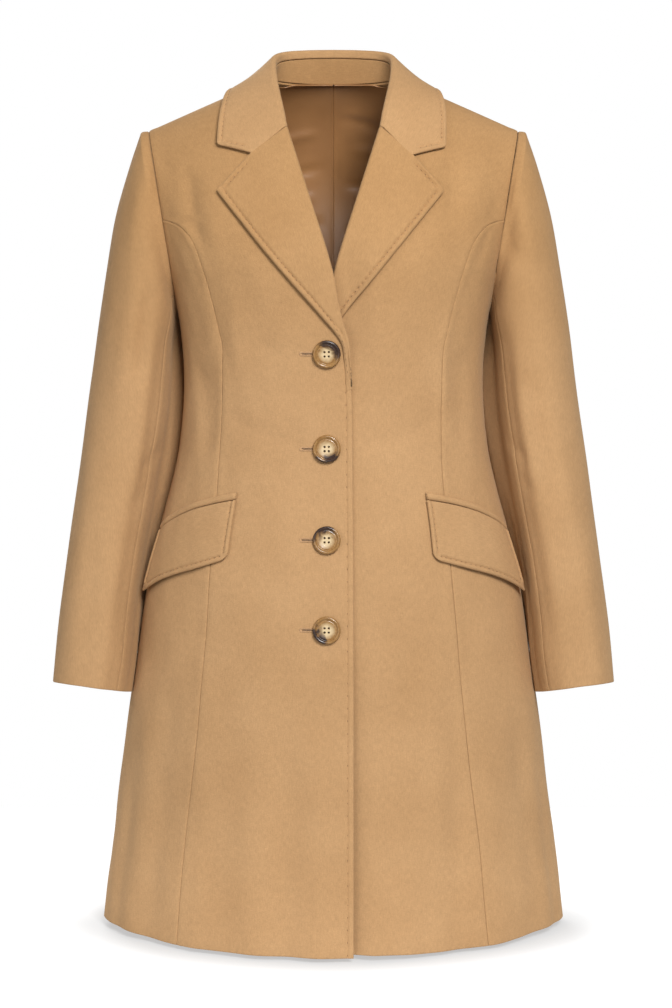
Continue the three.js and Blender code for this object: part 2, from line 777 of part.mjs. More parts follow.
BUTTON_Z.forEach((z, i) => {
  const seat = onBody(FRONT, BUTTON.x, z);
  const up = bodyNormal(seat);
  const button = add(`button_${i + 1}`, buttonGeometry(), HORN_COLOUR, 0.35);
  button.position.copy(seat).addScaledVector(up, SEATED + 0.2);
  button.quaternion.setFromUnitVectors(new THREE.Vector3(0, 1, 0), up);
});

export default coat;
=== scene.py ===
# %% [markdown]
# # A wool overcoat, filled out as it is worn
#
# This lesson dresses a plain model of a woman's overcoat. The plain model has every cut piece as one
# stiff wall. Here each piece is made again as a fine shell of cloth on the same form, with its folds,
# rolled edges, seams and stitches, and gets its finish. Sizes are in millimetres, and each mesh is
# turned into metres as the last step. +Z is up, +X is the wearer's left, and the front faces -Y.

import json
from types import SimpleNamespace

import bpy
import numpy as np
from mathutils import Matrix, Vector

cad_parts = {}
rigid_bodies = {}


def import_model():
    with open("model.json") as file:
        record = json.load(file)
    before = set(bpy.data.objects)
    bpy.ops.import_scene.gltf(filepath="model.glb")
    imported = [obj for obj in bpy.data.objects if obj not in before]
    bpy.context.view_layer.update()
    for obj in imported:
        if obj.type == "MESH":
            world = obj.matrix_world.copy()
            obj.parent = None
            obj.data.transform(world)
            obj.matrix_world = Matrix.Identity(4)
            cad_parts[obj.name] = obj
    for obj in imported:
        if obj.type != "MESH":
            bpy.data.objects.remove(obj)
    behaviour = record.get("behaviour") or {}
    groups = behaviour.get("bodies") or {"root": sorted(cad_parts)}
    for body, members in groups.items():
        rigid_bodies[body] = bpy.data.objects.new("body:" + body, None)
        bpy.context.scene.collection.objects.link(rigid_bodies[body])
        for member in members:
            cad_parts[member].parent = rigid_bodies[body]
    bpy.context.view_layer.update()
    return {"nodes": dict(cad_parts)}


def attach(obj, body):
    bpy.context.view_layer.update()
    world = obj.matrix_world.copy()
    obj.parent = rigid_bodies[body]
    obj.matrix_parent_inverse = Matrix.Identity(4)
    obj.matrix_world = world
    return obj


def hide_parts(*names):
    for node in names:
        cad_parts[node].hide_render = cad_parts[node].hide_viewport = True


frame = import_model()
MM = 0.001
print("pieces of the plain model:", len(frame["nodes"]))

# %% [markdown]
# ## Camera
#
# The picture is tall and was taken from in front with a long lens, slightly above the waist and
# looking a little down. The lens is given as the distance in pixels at which one pixel is as wide as
# the picture shows it, and turned into the millimetres that Blender's camera wants.

# %% Camera
PICTURE_HEIGHT = 1008
FOCAL_PIXELS = 2037
SENSOR = 36.0
CAMERA_PLACE = (2.7, -2200.0, -273.0)
CAMERA_TILT = 4.32


def add_camera():
    """The sensor's long side is the picture's height, so lens = sensor * focal pixels / height."""
    data = bpy.data.cameras.new("camera")
    data.sensor_width = SENSOR
    data.lens = SENSOR * FOCAL_PIXELS / PICTURE_HEIGHT
    camera = bpy.data.objects.new("camera", data)
    camera.location = [c * MM for c in CAMERA_PLACE]
    camera.rotation_euler = (np.radians(90 - CAMERA_TILT), 0, 0)
    bpy.context.scene.collection.objects.link(camera)
    bpy.context.scene.camera = camera
    return camera


camera = add_camera()
print("lens in millimetres:", round(camera.data.lens, 2))

# %% [markdown]
# ## Reading the form from short tables
#
# A cutter works from a few measures at named heights. The same is done here: a table has a row for
# each height and a named column for each measure, and it can be read at any height between, for a
# whole array of heights at once.

# %% Tables


def table(names, rows):
    """Gives a function that reads the columns at any values of the first one. Between two rows each
    column is the cubic that passes both, with the slope at each row taken between its neighbours."""
    data = np.array(rows, float)
    place = np.arange(len(data))
    above = data[np.minimum(place + 1, len(data) - 1)]
    below = data[np.maximum(place - 1, 0)]
    slopes = (above - below) / (above[:, :1] - below[:, :1])

    def read(values):
        x = np.clip(values, data[0, 0], data[-1, 0])
        i = np.clip(np.searchsorted(data[:, 0], x, side="right") - 1, 0, len(data) - 2)
        h = data[i + 1, 0] - data[i, 0]
        u = (x - data[i, 0]) / h
        start, end = (1 + 2 * u) * (1 - u) ** 2, u * u * (3 - 2 * u)
        leave, arrive = u * (1 - u) ** 2 * h, u * u * (u - 1) * h
        return SimpleNamespace(**{
            name: (start * data[i, c] + end * data[i + 1, c]
                   + leave * slopes[i, c] + arrive * slopes[i + 1, c])
            for c, name in enumerate(names.split())
        })

    return read


def mix(a, b, share):
    return a + (b - a) * share


def smoothstep(x, low, high):
    """0 below low and 1 above high, on the curve t * t * (3 - 2t) between them."""
    t = np.clip((x - low) / (high - low), 0, 1)
    return t * t * (3 - 2 * t)


def unit(vectors):
    return vectors / np.linalg.norm(vectors, axis=-1, keepdims=True)


def dot(a, b):
    return np.sum(a * b, axis=-1, keepdims=True)


# %% Measures of the coat
HEM = -896
UNDERARM = -232
TIP_X, TIP_Z = 197, -39
SHOULDER_SLOPE = 0.447
NECK_ROUNDING = 30
NECK_Z = 16
WOOL = 2.6
FACED = 2.8
SATIN = 1.0
SEAM = 0.3
COLLAR_SEAT = 2.2
FRONT, BACK = -1, 1

ring = table("z half front back round", [
    (-896, 252, 152, 158, 1.7),
    (-836, 245, 147, 153, 1.75),
    (-745, 233, 140, 147, 1.8),
    (-676, 224.5, 134, 142, 1.85),
    (-588, 211, 126, 136, 1.95),
    (-520, 200.5, 120, 130, 2.05),
    (-464, 187.5, 114, 122, 2.15),
    (-420, 175.5, 109, 112, 2.2),
    (-380, 166.5, 106, 103, 2.25),
    (-330, 161, 105, 96, 2.3),
    (-290, 160.5, 107, 95, 2.3),
    (-254, 163.5, 111, 98, 2.3),
    (-232, 167, 113, 101, 2.3),
    (-200, 174, 116, 106, 2.3),
    (-150, 191, 117, 111, 2.3),
    (-100, 209, 117, 112, 2.3),
    (-39, 230, 114, 110, 2.3),
])
front_edge = table("z x", [
    (-896, -21), (-600, -21), (-392, -20), (-299, -18.5), (-270, -14.5), (-236, -6),
    (-192, 3), (-119, 26), (-46, 49), (-20, 57), (17, 69),
])
armhole = table("z x", [
    (-232, 167), (-220, 168.5), (-189, 171.5), (-158, 176), (-132, 180),
    (-113, 183), (-89, 187), (-66, 191.5), (-39, 197),
])
princess = {
    FRONT: table("z x", [
        (-896, 162), (-778, 151), (-681, 139), (-573, 129), (-494, 122), (-415, 114.5), (-376, 112.5),
        (-275, 113), (-248, 119), (-222, 126), (-167, 143), (-150, 154), (-141, 166), (-137, 179.2),
    ]),
    BACK: table("z x", [
        (-896, 150), (-700, 128), (-500, 104), (-380, 88), (-320, 84), (-250, 90),
        (-200, 112), (-170, 137), (-156, 158), (-150, 177.2),
    ]),
}
JOIN_Z = {FRONT: -137, BACK: -150}
# In the picture the seam of the wearer's right front lies a little further out than the left one.
seam_shift = table("z x", [(-896, 3), (-600, 4), (-480, 6), (-400, 6.5), (-330, 4.5), (-250, 1.5), (-200, 0)])
HEM_RISE = 3.0
print("half waist and half hem:", ring(-300.0).half.round(1), ring(-896.0).half)

# %% [markdown]
# ## The body's form
#
# From the hem to the underarm each level ring is a superellipse, an ellipse with a free power: more
# than 2 makes it squarer, less makes it more pointed at the sides. Above that, the rings close over
# the shoulders like a cap. Every panel, lapel, flap and button is placed on this one form, so they
# can't drift apart.

# %% Body form


def cap_start(face):
    return np.where(np.asarray(face) == FRONT, -190.0, -130.0)


def cap_power(face):
    return np.where(np.asarray(face) == FRONT, 1.6, 2.2)


def shoulder_height(x):
    """The shoulder seam falls in a straight line from the neck, rounded off at the middle."""
    return TIP_Z + SHOULDER_SLOPE * (TIP_X - np.hypot(x, NECK_ROUNDING))


def cap_at(face, level):
    """A level inside the cap turns from upright to lying over: rise = sin ** (2 / power) goes from 0
    to 1 as draw = cos ** (2 / power), the share of the depth that is left, goes from 1 to 0."""
    start, power = cap_start(face), cap_power(face)
    turn = np.clip((level - start) / (TIP_Z - start), 0, 1) * np.pi / 2
    rise = np.sin(turn) ** (2 / power)
    draw = np.cos(turn).clip(0) ** (2 / power)
    return rise, draw, np.where(level <= start, level, mix(start, TIP_Z, rise))


def body_point(face, turn, level):
    """x = half width * sin ** (2 / round) and y = depth * cos ** (2 / round), with the turn from the
    middle of the front or back, and z the level, raised to the shoulder line inside the cap."""
    rise, draw, z = cap_at(face, level)
    size = ring(z)
    x = size.half * np.sign(np.sin(turn)) * np.abs(np.sin(turn)) ** (2 / size.round)
    depth = np.where(np.asarray(face) == FRONT, size.front, size.back) * draw
    y = face * depth * np.abs(np.cos(turn)) ** (2 / size.round)
    top = mix(cap_start(face), shoulder_height(x), rise)
    return np.stack(np.broadcast_arrays(x, y, np.where(rise > 0, top, z)), -1)


def level_at(face, x, z):
    """The level whose ring passes the height z at this x."""
    start, power = cap_start(face), cap_power(face)
    rise = np.clip((z - start) / (shoulder_height(x) - start), 0, 1)
    inside = start + np.arcsin(rise ** (power / 2)) / (np.pi / 2) * (TIP_Z - start)
    return np.where(z <= start, z, inside)


def turn_at(face, x, level):
    size = ring(cap_at(face, level)[2])
    return np.sign(x) * np.arcsin(np.minimum(np.abs(x) / size.half, 1) ** (size.round / 2))


def on_body(face, x, z):
    level = level_at(face, x, z)
    return body_point(face, turn_at(face, x, level), level)


def outside(points):
    """0 on the form, less inside and more outside: the superellipse's sum of powers, less 1."""
    x, y, z = np.moveaxis(points, -1, 0)
    face = np.where(y <= 0, FRONT, BACK)
    start, power = cap_start(face), cap_power(face)
    rise = np.maximum((z - start) / (shoulder_height(x) - start), 0)
    size = ring(np.where(rise > 0, mix(start, TIP_Z, np.minimum(rise, 1)), z))
    depth = np.where(face == FRONT, size.front, size.back)
    wide = (np.abs(x) / size.half) ** size.round
    below = wide + (np.abs(y) / depth) ** size.round - 1
    side = np.maximum(1 - wide, 1e-6) ** (1 / size.round)
    above = (np.abs(y) / (depth * side)) ** power + rise ** power - 1
    return np.where(rise == 0, below, above)


PROBE = 0.05


def slope_of(points):
    """The gradient of outside, from its values a small step before and behind along each axis."""
    step = np.eye(3) * PROBE
    return np.stack([(outside(points + s) - outside(points - s)) / (2 * PROBE) for s in step], -1)


def body_normal(points):
    return unit(slope_of(points))


def settle(points, clearance, exact=False, softness=1.5):
    """Moves points along the gradient until they lie a clearance above the form. Points that are not
    exact are only pushed out when they are nearer, and the change from free to resting is soft:
    height = clearance + softness * ln(1 + exp((height - clearance) / softness))."""
    slope = slope_of(points)
    away = outside(points) / np.linalg.norm(slope, axis=-1)
    free = (away - clearance) / softness
    target = np.where(exact, clearance, clearance + softness * np.logaddexp(0, free))
    moved = exact | (free < 4)
    result = points.copy()
    for _ in range(6):
        slope = slope_of(result)
        steep = np.linalg.norm(slope, axis=-1)
        push = np.where(moved, (target - outside(result) / steep) / steep, 0)
        result = result + slope * push[..., None]
    return result


def crossing(face, level, line, low, high):
    """Where a seam that is given as x by height crosses each level, found by halving the span."""
    rise = cap_at(face, level)[0]
    a, b = np.full_like(level, low), np.full_like(level, high)
    for _ in range(40):
        x = (a + b) / 2
        z = np.where(rise > 0, mix(cap_start(face), shoulder_height(x), rise), level)
        beyond = x > line(z)
        a, b = np.where(beyond, a, x), np.where(beyond, x, b)
    return (a + b) / 2


print("top of the shoulder seam at the neck:", shoulder_height(69.0).round(1))

# %% [markdown]
# ## Folds, placed one by one
#
# Coating is thick and pressed, so it has no sharp wrinkles: its folds are long soft troughs and
# ridges. They could be simulated, but then they would not lie where the picture shows them. So each
# one is a row of a table: where it starts and ends, how high it is and how wide. Across, it is a
# bell curve; along, it fades in and out. The folds of the body go by degrees round it, 0 in the
# middle of the front, 90 at the wearer's left side, 180 behind, and by height.

# %% Folds of the body
FOLDS = [
    # from degrees, height, to degrees, height, rise, half width, bow
    (-43.5, -78, -47.5, -170, -2.3, 9, 0),
    (-37, -90, -38, -170, 0.9, 10, 0),
    (-45, -185, -41, -290, -1.3, 9, 3),
    (-35, -200, -35.5, -300, 1.2, 9, 0),
    (-60, -280, -50, -395, -2.4, 15, -4),
    (32, -56, 38, -150, -1.8, 9, 2),
    (44, -80, 46, -160, 1.2, 10, 0),
    (54, -110, 57, -185, -1.2, 8, 0),
    (42, -235, 43.5, -340, 1.3, 8, 0),
    (52, -265, 56, -380, -1.8, 14, 3),
    (-4, -372, -42, -334, -0.8, 9, -6),
    (6, -372, 40, -338, -0.7, 9, 6),
    (-8, -282, -30, -262, -0.6, 9, 0),
    (-13.7, -560, -14.7, -1300, -2.3, 14, 0),
    (-24, -600, -23, -1300, 1.9, 15, 0),
    (-5, -640, -5.5, -1300, 1.1, 12, 0),
    (-38, -520, -40, -1300, 1.3, 13, 0),
    (-52, -560, -57, -1300, -2.6, 18, 0),
    (-70, -620, -72, -1300, -2.2, 16, 0),
    (22, -600, 22, -1300, 1.0, 13, 0),
    (30, -580, 31, -800, 1.5, 13, 0),
    (35.5, -620, 34, -1300, -1.9, 13, 0),
    (46, -600, 48, -1300, 1.6, 15, 0),
    (61, -540, 64, -1300, -1.8, 17, 0),
    (75, -650, 76, -1300, -1.8, 14, 0),
    (102, -600, 104, -1300, 1.8, 18, 0),
    (118, -560, 121, -1300, -2.5, 18, 0),
    (134, -520, 137, -1300, 2.2, 18, 0),
    (150, -600, 153, -1300, -2.6, 17, 0),
    (167, -560, 168, -1300, 1.9, 16, 0),
    (-176, -600, -177, -1300, -1.7, 14, 0),
    (-161, -540, -163, -1300, 1.9, 17, 0),
    (-146, -620, -148, -1300, -2.4, 16, 0),
    (-129, -560, -132, -1300, 2.1, 18, 0),
    (-112, -620, -114, -1300, -2.0, 17, 0),
    (-98, -560, -100, -1300, 1.4, 16, 0),
    (158, -290, 148, -380, -1.3, 14, 3),
    (-157, -285, -149, -372, -1.5, 14, -3),
    (138, -112, 140, -215, -1.5, 12, 0),
    (-139, -120, -141, -205, -1.3, 12, 0),
    (146, -350, 177, -343, -1.0, 8, 2),
    (-174, -333, -150, -342, -0.9, 8, -2),
    (-170, -372, -140, -380, -0.8, 8, 2),
]


FOLD_SCALE = 1.35


def fold_heights(degrees, z, per_degree, folds):
    """Adds up the folds. A point's place is (degrees * millimetres per degree, z). With s the place
    along a fold, -1 and 1 at its ends, and d the distance from its bowed middle line, the height is
    rise * exp(-(d / width) ** 2), faded out by a smooth step in the outer half of s."""
    total = np.zeros(np.broadcast(degrees, z).shape)
    for start, z0, end, z1, rise, width, bow in folds:
        middle = (start + end) / 2
        across = ((degrees - middle + 180) % 360 - 180) * per_degree
        down = z - (z0 + z1) / 2
        half_x, half_z = (end - start) / 2 * per_degree, (z1 - z0) / 2
        size = half_x ** 2 + half_z ** 2
        s = (across * half_x + down * half_z) / size
        d = (across * half_z - down * half_x) / np.sqrt(size) - bow * (1 - s * s)
        total += rise * np.exp(-((d / width) ** 2)) * smoothstep(1 - np.abs(s), 0, 0.5)
    return total


def round_body(points):
    """Degrees round the body of each point."""
    x, y, z = np.moveaxis(points, -1, 0)
    face = np.where(y <= 0, FRONT, BACK)
    turn = np.degrees(turn_at(face, x, level_at(face, x, z)))
    return np.where(face == FRONT, turn, np.where(x < 0, -180, 180) - turn)


WAVES = [(13, 0.031, 0.4, 0.30), (21, -0.043, 1.9, 0.22), (34, 0.067, 4.1, 0.14), (7, 0.055, 2.7, 0.25)]


SLEEVE_WAVES = [(3, 0.031, 0.4, 0.3), (5, -0.043, 1.9, 0.2), (8, 0.06, 4.1, 0.07)]


def waviness(degrees, z, waves=WAVES):
    """Slight unevenness of real cloth: sines that go a whole number of times round the body."""
    return sum(size * np.sin(np.radians(degrees) * times + z * tilt + shift)
               for times, tilt, shift, size in waves)


def drape(points):
    """Height of the folds at points of the body, held down at the armholes, below the collar and
    where the sleeves lie close to the sides."""
    x, z = points[..., 0], points[..., 2]
    degrees = round_body(points)
    size = ring(z)
    per_degree = np.radians((size.half + (size.front + size.back) / 2) / 2)
    height = FOLD_SCALE * fold_heights(degrees, z, per_degree, FOLDS) + waviness(degrees, z)
    free = 1 - smoothstep(z, -84, -48)
    sewn = np.where(z > UNDERARM, smoothstep(armhole(z).x - np.abs(x), 0, 15), 1)
    beside = np.exp(-(((np.abs(degrees) - 90) / 16) ** 2)) * smoothstep(z, -730, -650)
    return height * free * sewn * (1 - beside)


print("folds on the body:", len(FOLDS))

# %% [markdown]
# ## Shells of cloth
#
# A piece of coating could be a flat sheet with Blender's Solidify modifier, but its edges would be
# square. Here the outer and the inner face are two grids that share their rim, and near the rim both
# bend towards the middle of the cloth. A free edge then looks folded over, and two pieces side by
# side leave the narrow soft valley of a pressed seam.

# %% Grids and shells
EDGE = np.array([0.0, 0.15, 0.4, 0.8, 1.5, 2.6, 4.5, 7.0])
FREE, SEWN = 1.5, 0.75


def mirror(points, side):
    return points * np.array([side, 1.0, 1.0])


def runs(points, axis):
    """Distance along each line of a grid of points from its first point."""
    steps = np.linalg.norm(np.diff(points, axis=axis), axis=-1)
    zero = np.zeros_like(np.take(steps, [0], axis=axis))
    return np.concatenate([zero, np.cumsum(steps, axis=axis)], axis=axis)


def edge_spaced(length, count, first=EDGE, last=EDGE):
    """Distances along lines of these lengths: close together near both ends, where the cloth turns
    in, and even between. On a line shorter than three times the two edge zones these shrink."""
    length = np.atleast_1d(np.asarray(length, float))[:, None]
    scale = np.minimum(1, length / (1.5 * (first[-1] + last[-1])))
    near, far = first * scale, length - last[::-1] * scale
    even = np.linspace(0, 1, count + 2)[1:-1]
    return np.concatenate([near, mix(near[:, -1:], far[:, :1], even), far], axis=1)


def at_distances(points, values, distances):
    """A parameter's value at chosen distances along each row of points."""
    along = runs(points, 1)
    rows = zip(distances, along, np.broadcast_to(values, along.shape))
    return np.array([np.interp(d, a, v) for d, a, v in rows])


def turned_in(distance, thickness, reach):
    """How far a face bends in at a distance from an edge: a quarter ellipse, half the thickness high
    at the edge and nothing beyond its reach, which is short at a pressed seam."""
    share = 1 - np.clip(distance / reach, 0, 1)
    return thickness / 2 * (1 - np.sqrt(np.clip(1 - share ** 2, 0, 1)))


def rim_inset(points, thickness, reaches=(FREE, FREE, FREE, FREE)):
    """The turning in at the first and last column and the first and last row of a grid, with the
    reach at each, or 0 where a side doesn't turn in."""
    across, along = runs(points, 1), runs(points, 0)
    ways = (across, across[:, -1:] - across, along, along[-1:] - along)
    used = [(way, reach) for way, reach in zip(ways, reaches) if reach]
    return np.max([turned_in(way, thickness, reach) for way, reach in used], axis=0)


def quads_of(outer, inner):
    """Faces between neighbours of both grids. The inner one runs the other way round."""
    def faces(ids):
        return np.stack([ids[:-1, :-1], ids[:-1, 1:], ids[1:, 1:], ids[1:, :-1]], -1).reshape(-1, 4)
    return np.concatenate([faces(outer), faces(inner)[:, ::-1]])


def outwards(points, quads):
    """Turns all faces round if the volume that they enclose is negative."""
    a, b, c, d = (points[quads[:, i]] for i in range(4))
    volume = np.sum(a * np.cross(b, c)) + np.sum(a * np.cross(c, d))
    return quads if volume > 0 else quads[:, ::-1]


def make_piece(name, points, quads, cloth=None):
    """A smooth mesh in metres, with the place on the cloth in metres as its UV map."""
    mesh = bpy.data.meshes.new(name)
    mesh.vertices.add(len(points))
    mesh.vertices.foreach_set("co", (points * MM).astype(np.float32).ravel())
    mesh.loops.add(quads.size)
    mesh.loops.foreach_set("vertex_index", quads.astype(np.int32).ravel())
    mesh.polygons.add(len(quads))
    mesh.polygons.foreach_set("loop_start", np.arange(len(quads), dtype=np.int32) * 4)
    mesh.polygons.foreach_set("use_smooth", np.ones(len(quads), bool))
    mesh.update(calc_edges=True)
    if cloth is not None:
        layer = mesh.uv_layers.new(name="cloth")
        layer.data.foreach_set("uv", cloth[quads.ravel()].astype(np.float32).ravel())
    piece = bpy.data.objects.new(name, mesh)
    bpy.context.scene.collection.objects.link(piece)
    return piece


def dress(piece, node, material):
    piece.data.materials.append(material)
    if node:
        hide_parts(node)
    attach(piece, "root")
    return piece


def cloth_piece(node, outer, inner, material):
    """A closed shell between two grids with a common rim."""
    rows, cols = outer.shape[:2]
    rim = np.ones((rows, cols), bool)
    rim[1:-1, 1:-1] = False
    shared = (outer + inner) / 2
    outer = np.where(rim[..., None], shared, outer)
    ids = np.arange(rows * cols).reshape(rows, cols)
    under = ids.copy()
    under[~rim] = rows * cols + np.arange((~rim).sum())
    points = np.concatenate([outer.reshape(-1, 3), inner[~rim]])
    across, along = runs(outer, 1), runs(outer, 0)
    place = np.stack([across, along], -1) * MM
    cloth = np.concatenate([place.reshape(-1, 2), place[~rim]])
    quads = outwards(points, quads_of(ids, under))
    piece = dress(make_piece(f"cloth_{node}", points, quads, cloth), node, material)

    return piece


# %% [markdown]
# ## The wool's finish
#
# Camel coating is brushed until its surface is a short nap of fine hairs that all lie down the
# piece. From a step away it is a warm, matt, slightly clouded colour; close by, fine streaks show.
# The colour is mixed from a cloudy noise and a fine noise that is stretched along the cloth by the
# piece's UV map, and darkened above the waist as painted shade. Sheen gives the soft pale edge that
# hairs make where the cloth turns away.

# %% Material helpers


def start_material(name):
    material = bpy.data.materials.new(name)
    material.use_nodes = True
    tree = material.node_tree
    return material, tree, tree.nodes["Principled BSDF"]


def node(tree, kind, inputs=(), **settings):
    """Adds a shader node, sets its properties and fills or links its inputs by name or number."""
    made = tree.nodes.new(kind)
    for key, value in settings.items():
        setattr(made, key, value)
    for key, value in dict(inputs).items():
        if isinstance(value, bpy.types.NodeSocket):
            tree.links.new(value, made.inputs[key])
        else:
            made.inputs[key].default_value = value
    return made


def noise(tree, coordinates, scale, detail=3.0, roughness=0.5, distortion=0.0):
    inputs = {"Vector": coordinates, "Scale": scale, "Detail": detail,
              "Roughness": roughness, "Distortion": distortion}
    return node(tree, "ShaderNodeTexNoise", inputs).outputs["Fac"]


def spread(tree, value, low, high):
    """Maps a noise, which mostly lies between 0.3 and 0.7, to a span."""
    inputs = {"Value": value, "From Min": 0.3, "From Max": 0.7, "To Min": low, "To Max": high}
    return node(tree, "ShaderNodeMapRange", inputs, clamp=False).outputs["Result"]


def combine(tree, operation, a, b):
    return node(tree, "ShaderNodeMath", {0: a, 1: b}, operation=operation).outputs["Value"]


def tint(tree, colour, value):
    """Multiplies a colour by a grey value."""
    inputs = {"Factor": 1.0, 6: colour, 7: value}
    return node(tree, "ShaderNodeMix", inputs, data_type="RGBA", blend_type="MULTIPLY").outputs[2]


def blended(tree, factor, a, b):
    return node(tree, "ShaderNodeMix", {"Factor": factor, 6: a, 7: b}, data_type="RGBA").outputs[2]


def surface_coordinates(tree, map_name):
    return node(tree, "ShaderNodeUVMap", uv_map=map_name).outputs["UV"]


def stretched(tree, coordinates, scale):
    return node(tree, "ShaderNodeMapping", {"Vector": coordinates, "Scale": scale}).outputs["Vector"]


def add_bump(tree, shader, height, distance, strength):
    bump = node(tree, "ShaderNodeBump", {"Height": height, "Distance": distance, "Strength": strength})
    tree.links.new(bump.outputs["Normal"], shader.inputs["Normal"])


def set_inputs(shader, **values):
    for key, value in values.items():
        shader.inputs[key.replace("_", " ")].default_value = value


# %% Camel wool
CAMEL = (0.455, 0.272, 0.132, 1.0)
CAMEL_DEEP = (0.385, 0.222, 0.102, 1.0)
PAINTED_SHADE_TINT = (0.87, 0.83, 0.74, 1.0)


def wool_material(name, painted_shade_share):
    """The colour is darkened and made more saturated from the waist up: painted shade of the upper chest
    and shoulders. The share says how much of this painted shade a piece gets."""
    material, tree, shader = start_material(name)
    space = node(tree, "ShaderNodeTexCoord").outputs["Object"]
    cloth = surface_coordinates(tree, "cloth")
    clouds = noise(tree, space, 14, 2)
    mottle = noise(tree, space, 170, 3, 0.6)
    streaks = noise(tree, stretched(tree, cloth, (1.0, 0.2, 1.0)), 750, 3, 0.65)
    weave = noise(tree, stretched(tree, cloth, (0.25, 1.0, 1.0)), 1100, 2, 0.6)
    hairs = noise(tree, stretched(tree, cloth, (1.0, 0.25, 1.0)), 2400, 2, 0.55)
    colour = blended(tree, spread(tree, clouds, 0.25, 0.75), CAMEL, CAMEL_DEEP)
    # Painted shade: a darker, more saturated tint from the waist up.
    up = node(tree, "ShaderNodeSeparateXYZ", {"Vector": space}).outputs["Z"]
    high = node(tree, "ShaderNodeMapRange", {"Value": up, "From Min": -0.36, "From Max": -0.08,
                                             "To Max": painted_shade_share}, interpolation_type="SMOOTHSTEP")
    colour = blended(tree, high.outputs["Result"], colour, tint(tree, colour, PAINTED_SHADE_TINT))
    shade = combine(tree, "MULTIPLY", spread(tree, mottle, 0.96, 1.04),
                    spread(tree, streaks, 0.925, 1.075))
    shade = combine(tree, "MULTIPLY", shade, spread(tree, weave, 0.95, 1.05))
    shade = combine(tree, "MULTIPLY", shade, spread(tree, hairs, 0.94, 1.06))
    tree.links.new(tint(tree, colour, shade), shader.inputs["Base Color"])
    height = combine(tree, "ADD", combine(tree, "MULTIPLY", streaks, 0.7),
                     combine(tree, "ADD", hairs, combine(tree, "MULTIPLY", weave, 0.5)))
    add_bump(tree, shader, height, 0.0005, 0.45)
    set_inputs(shader, Roughness=0.95, Specular_IOR_Level=0.12, Sheen_Weight=0.13,
               Sheen_Roughness=0.5, Sheen_Tint=(1.0, 0.8, 0.55, 1.0))
    return material


# Copies of the wool with different amounts of the painted shade; the collar gets little.
camel_wool = wool_material("camel_wool", 1.0)
lapel_wool = wool_material("camel_wool_lapel", 0.95)
collar_wool = wool_material("camel_wool_collar", 0.25)
print("made", camel_wool.name, lapel_wool.name, collar_wool.name)

# %% [markdown]
# ## Body panels
#
# The body is cut in eight panels: fronts, side fronts, side backs and backs. The long curved seams
# between them, from the armhole over the bust to the hem, are princess seams and give the waist
# without darts. Each panel is a grid: its rows are level rings between two seams, and its columns
# are spread by real distance along the row.

# %% Rows and columns of a panel
ROW_STEP = 4.2
MIDDLE_STEP = 9.0


def rows_of(face, top=None):
    """Levels from the hem to the shoulder seam, or to a height at the armhole. They are closest at
    the hem and at the top, where the cloth's edge turns in."""
    start = float(cap_start(face))
    upright = np.arange(HEM + 8, start, ROW_STEP)
    over = np.arange(start, TIP_Z - 4, 2.8)
    near_seam = (TIP_Z - start) * 2 / np.pi * (EDGE[::-1] / 112) ** (float(cap_power(face)) / 2)
    join = float(level_at(face, armhole(float(JOIN_Z[face])).x, JOIN_Z[face] - 0.01))
    levels = np.concatenate([HEM + EDGE, upright, over])
    if top is None:
        levels = levels[(levels < TIP_Z - near_seam[0]) & (np.abs(levels - join) > 0.9)]
        return np.sort(np.concatenate([levels, [join, join + 0.4], TIP_Z - near_seam]))
    last = float(level_at(face, armhole(float(top)).x, float(top)))
    return np.concatenate([levels[levels < last - 1.2], [last - 0.6, last]])


def princess_line(face, side):
    """The princess seam of one side, as a function from height to x."""
    def line(z):
        shift = seam_shift(z).x if side < 0 and face == FRONT else 0.0
        return princess[face](z).x + shift
    return line


def outer_seam(face, levels, side):
    """The princess seam up to the height where it joins the armhole, and the armhole above."""
    below = princess_line(face, side)

    def line(z):
        return np.where(z >= JOIN_Z[face], armhole(z).x, below(z))
    return turn_at(face, crossing(face, levels, line, 60.0, 205.0), levels)


def hem_raised(points):
    """The hem curves up a little towards the sides, as cloth does that hangs from the hips."""
    low = 1 - smoothstep(points[..., 2], HEM, HEM + 90)
    points[..., 2] += HEM_RISE * low * smoothstep(np.abs(points[..., 0]), 165, 245)
    return points


def lowered_to_neck(turn, level):
    """Behind, the rows end at the neck seam instead of the shoulder line, so the levels of the cap
    are squeezed: each keeps its share of the way from the cap's start to the neck seam."""
    flat = body_point(BACK, turn, level)[..., 0]
    start = float(cap_start(BACK))
    top = level_at(BACK, flat, np.minimum(NECK_Z, shoulder_height(flat)))
    share = np.maximum(level - start, 0) / (TIP_Z - start)
    lower = np.where(share > 0, mix(start, top, share), level)
    return body_point(BACK, turn_at(BACK, flat, lower), lower)


def panel_points(place, levels, inner, outer, step, first=EDGE, last=EDGE):
    """Points of a panel between its inner and outer turns, the columns spread by distance."""
    share = np.linspace(0, 1, 240)
    turns = mix(inner[:, None], outer[:, None], share)
    rough = place(turns, levels[:, None])
    length = runs(rough, 1)[:, -1]
    count = int(length.max() / step)
    turns = at_distances(rough, turns, edge_spaced(length, count, first, last))
    return hem_raised(place(turns, levels[:, None]))


def seam_ridge(distance):
    """Pressed seam allowances lie under the cloth beside a seam and lift it a little."""
    return 0.45 * np.exp(-(((distance - 4.5) / 3.5) ** 2))


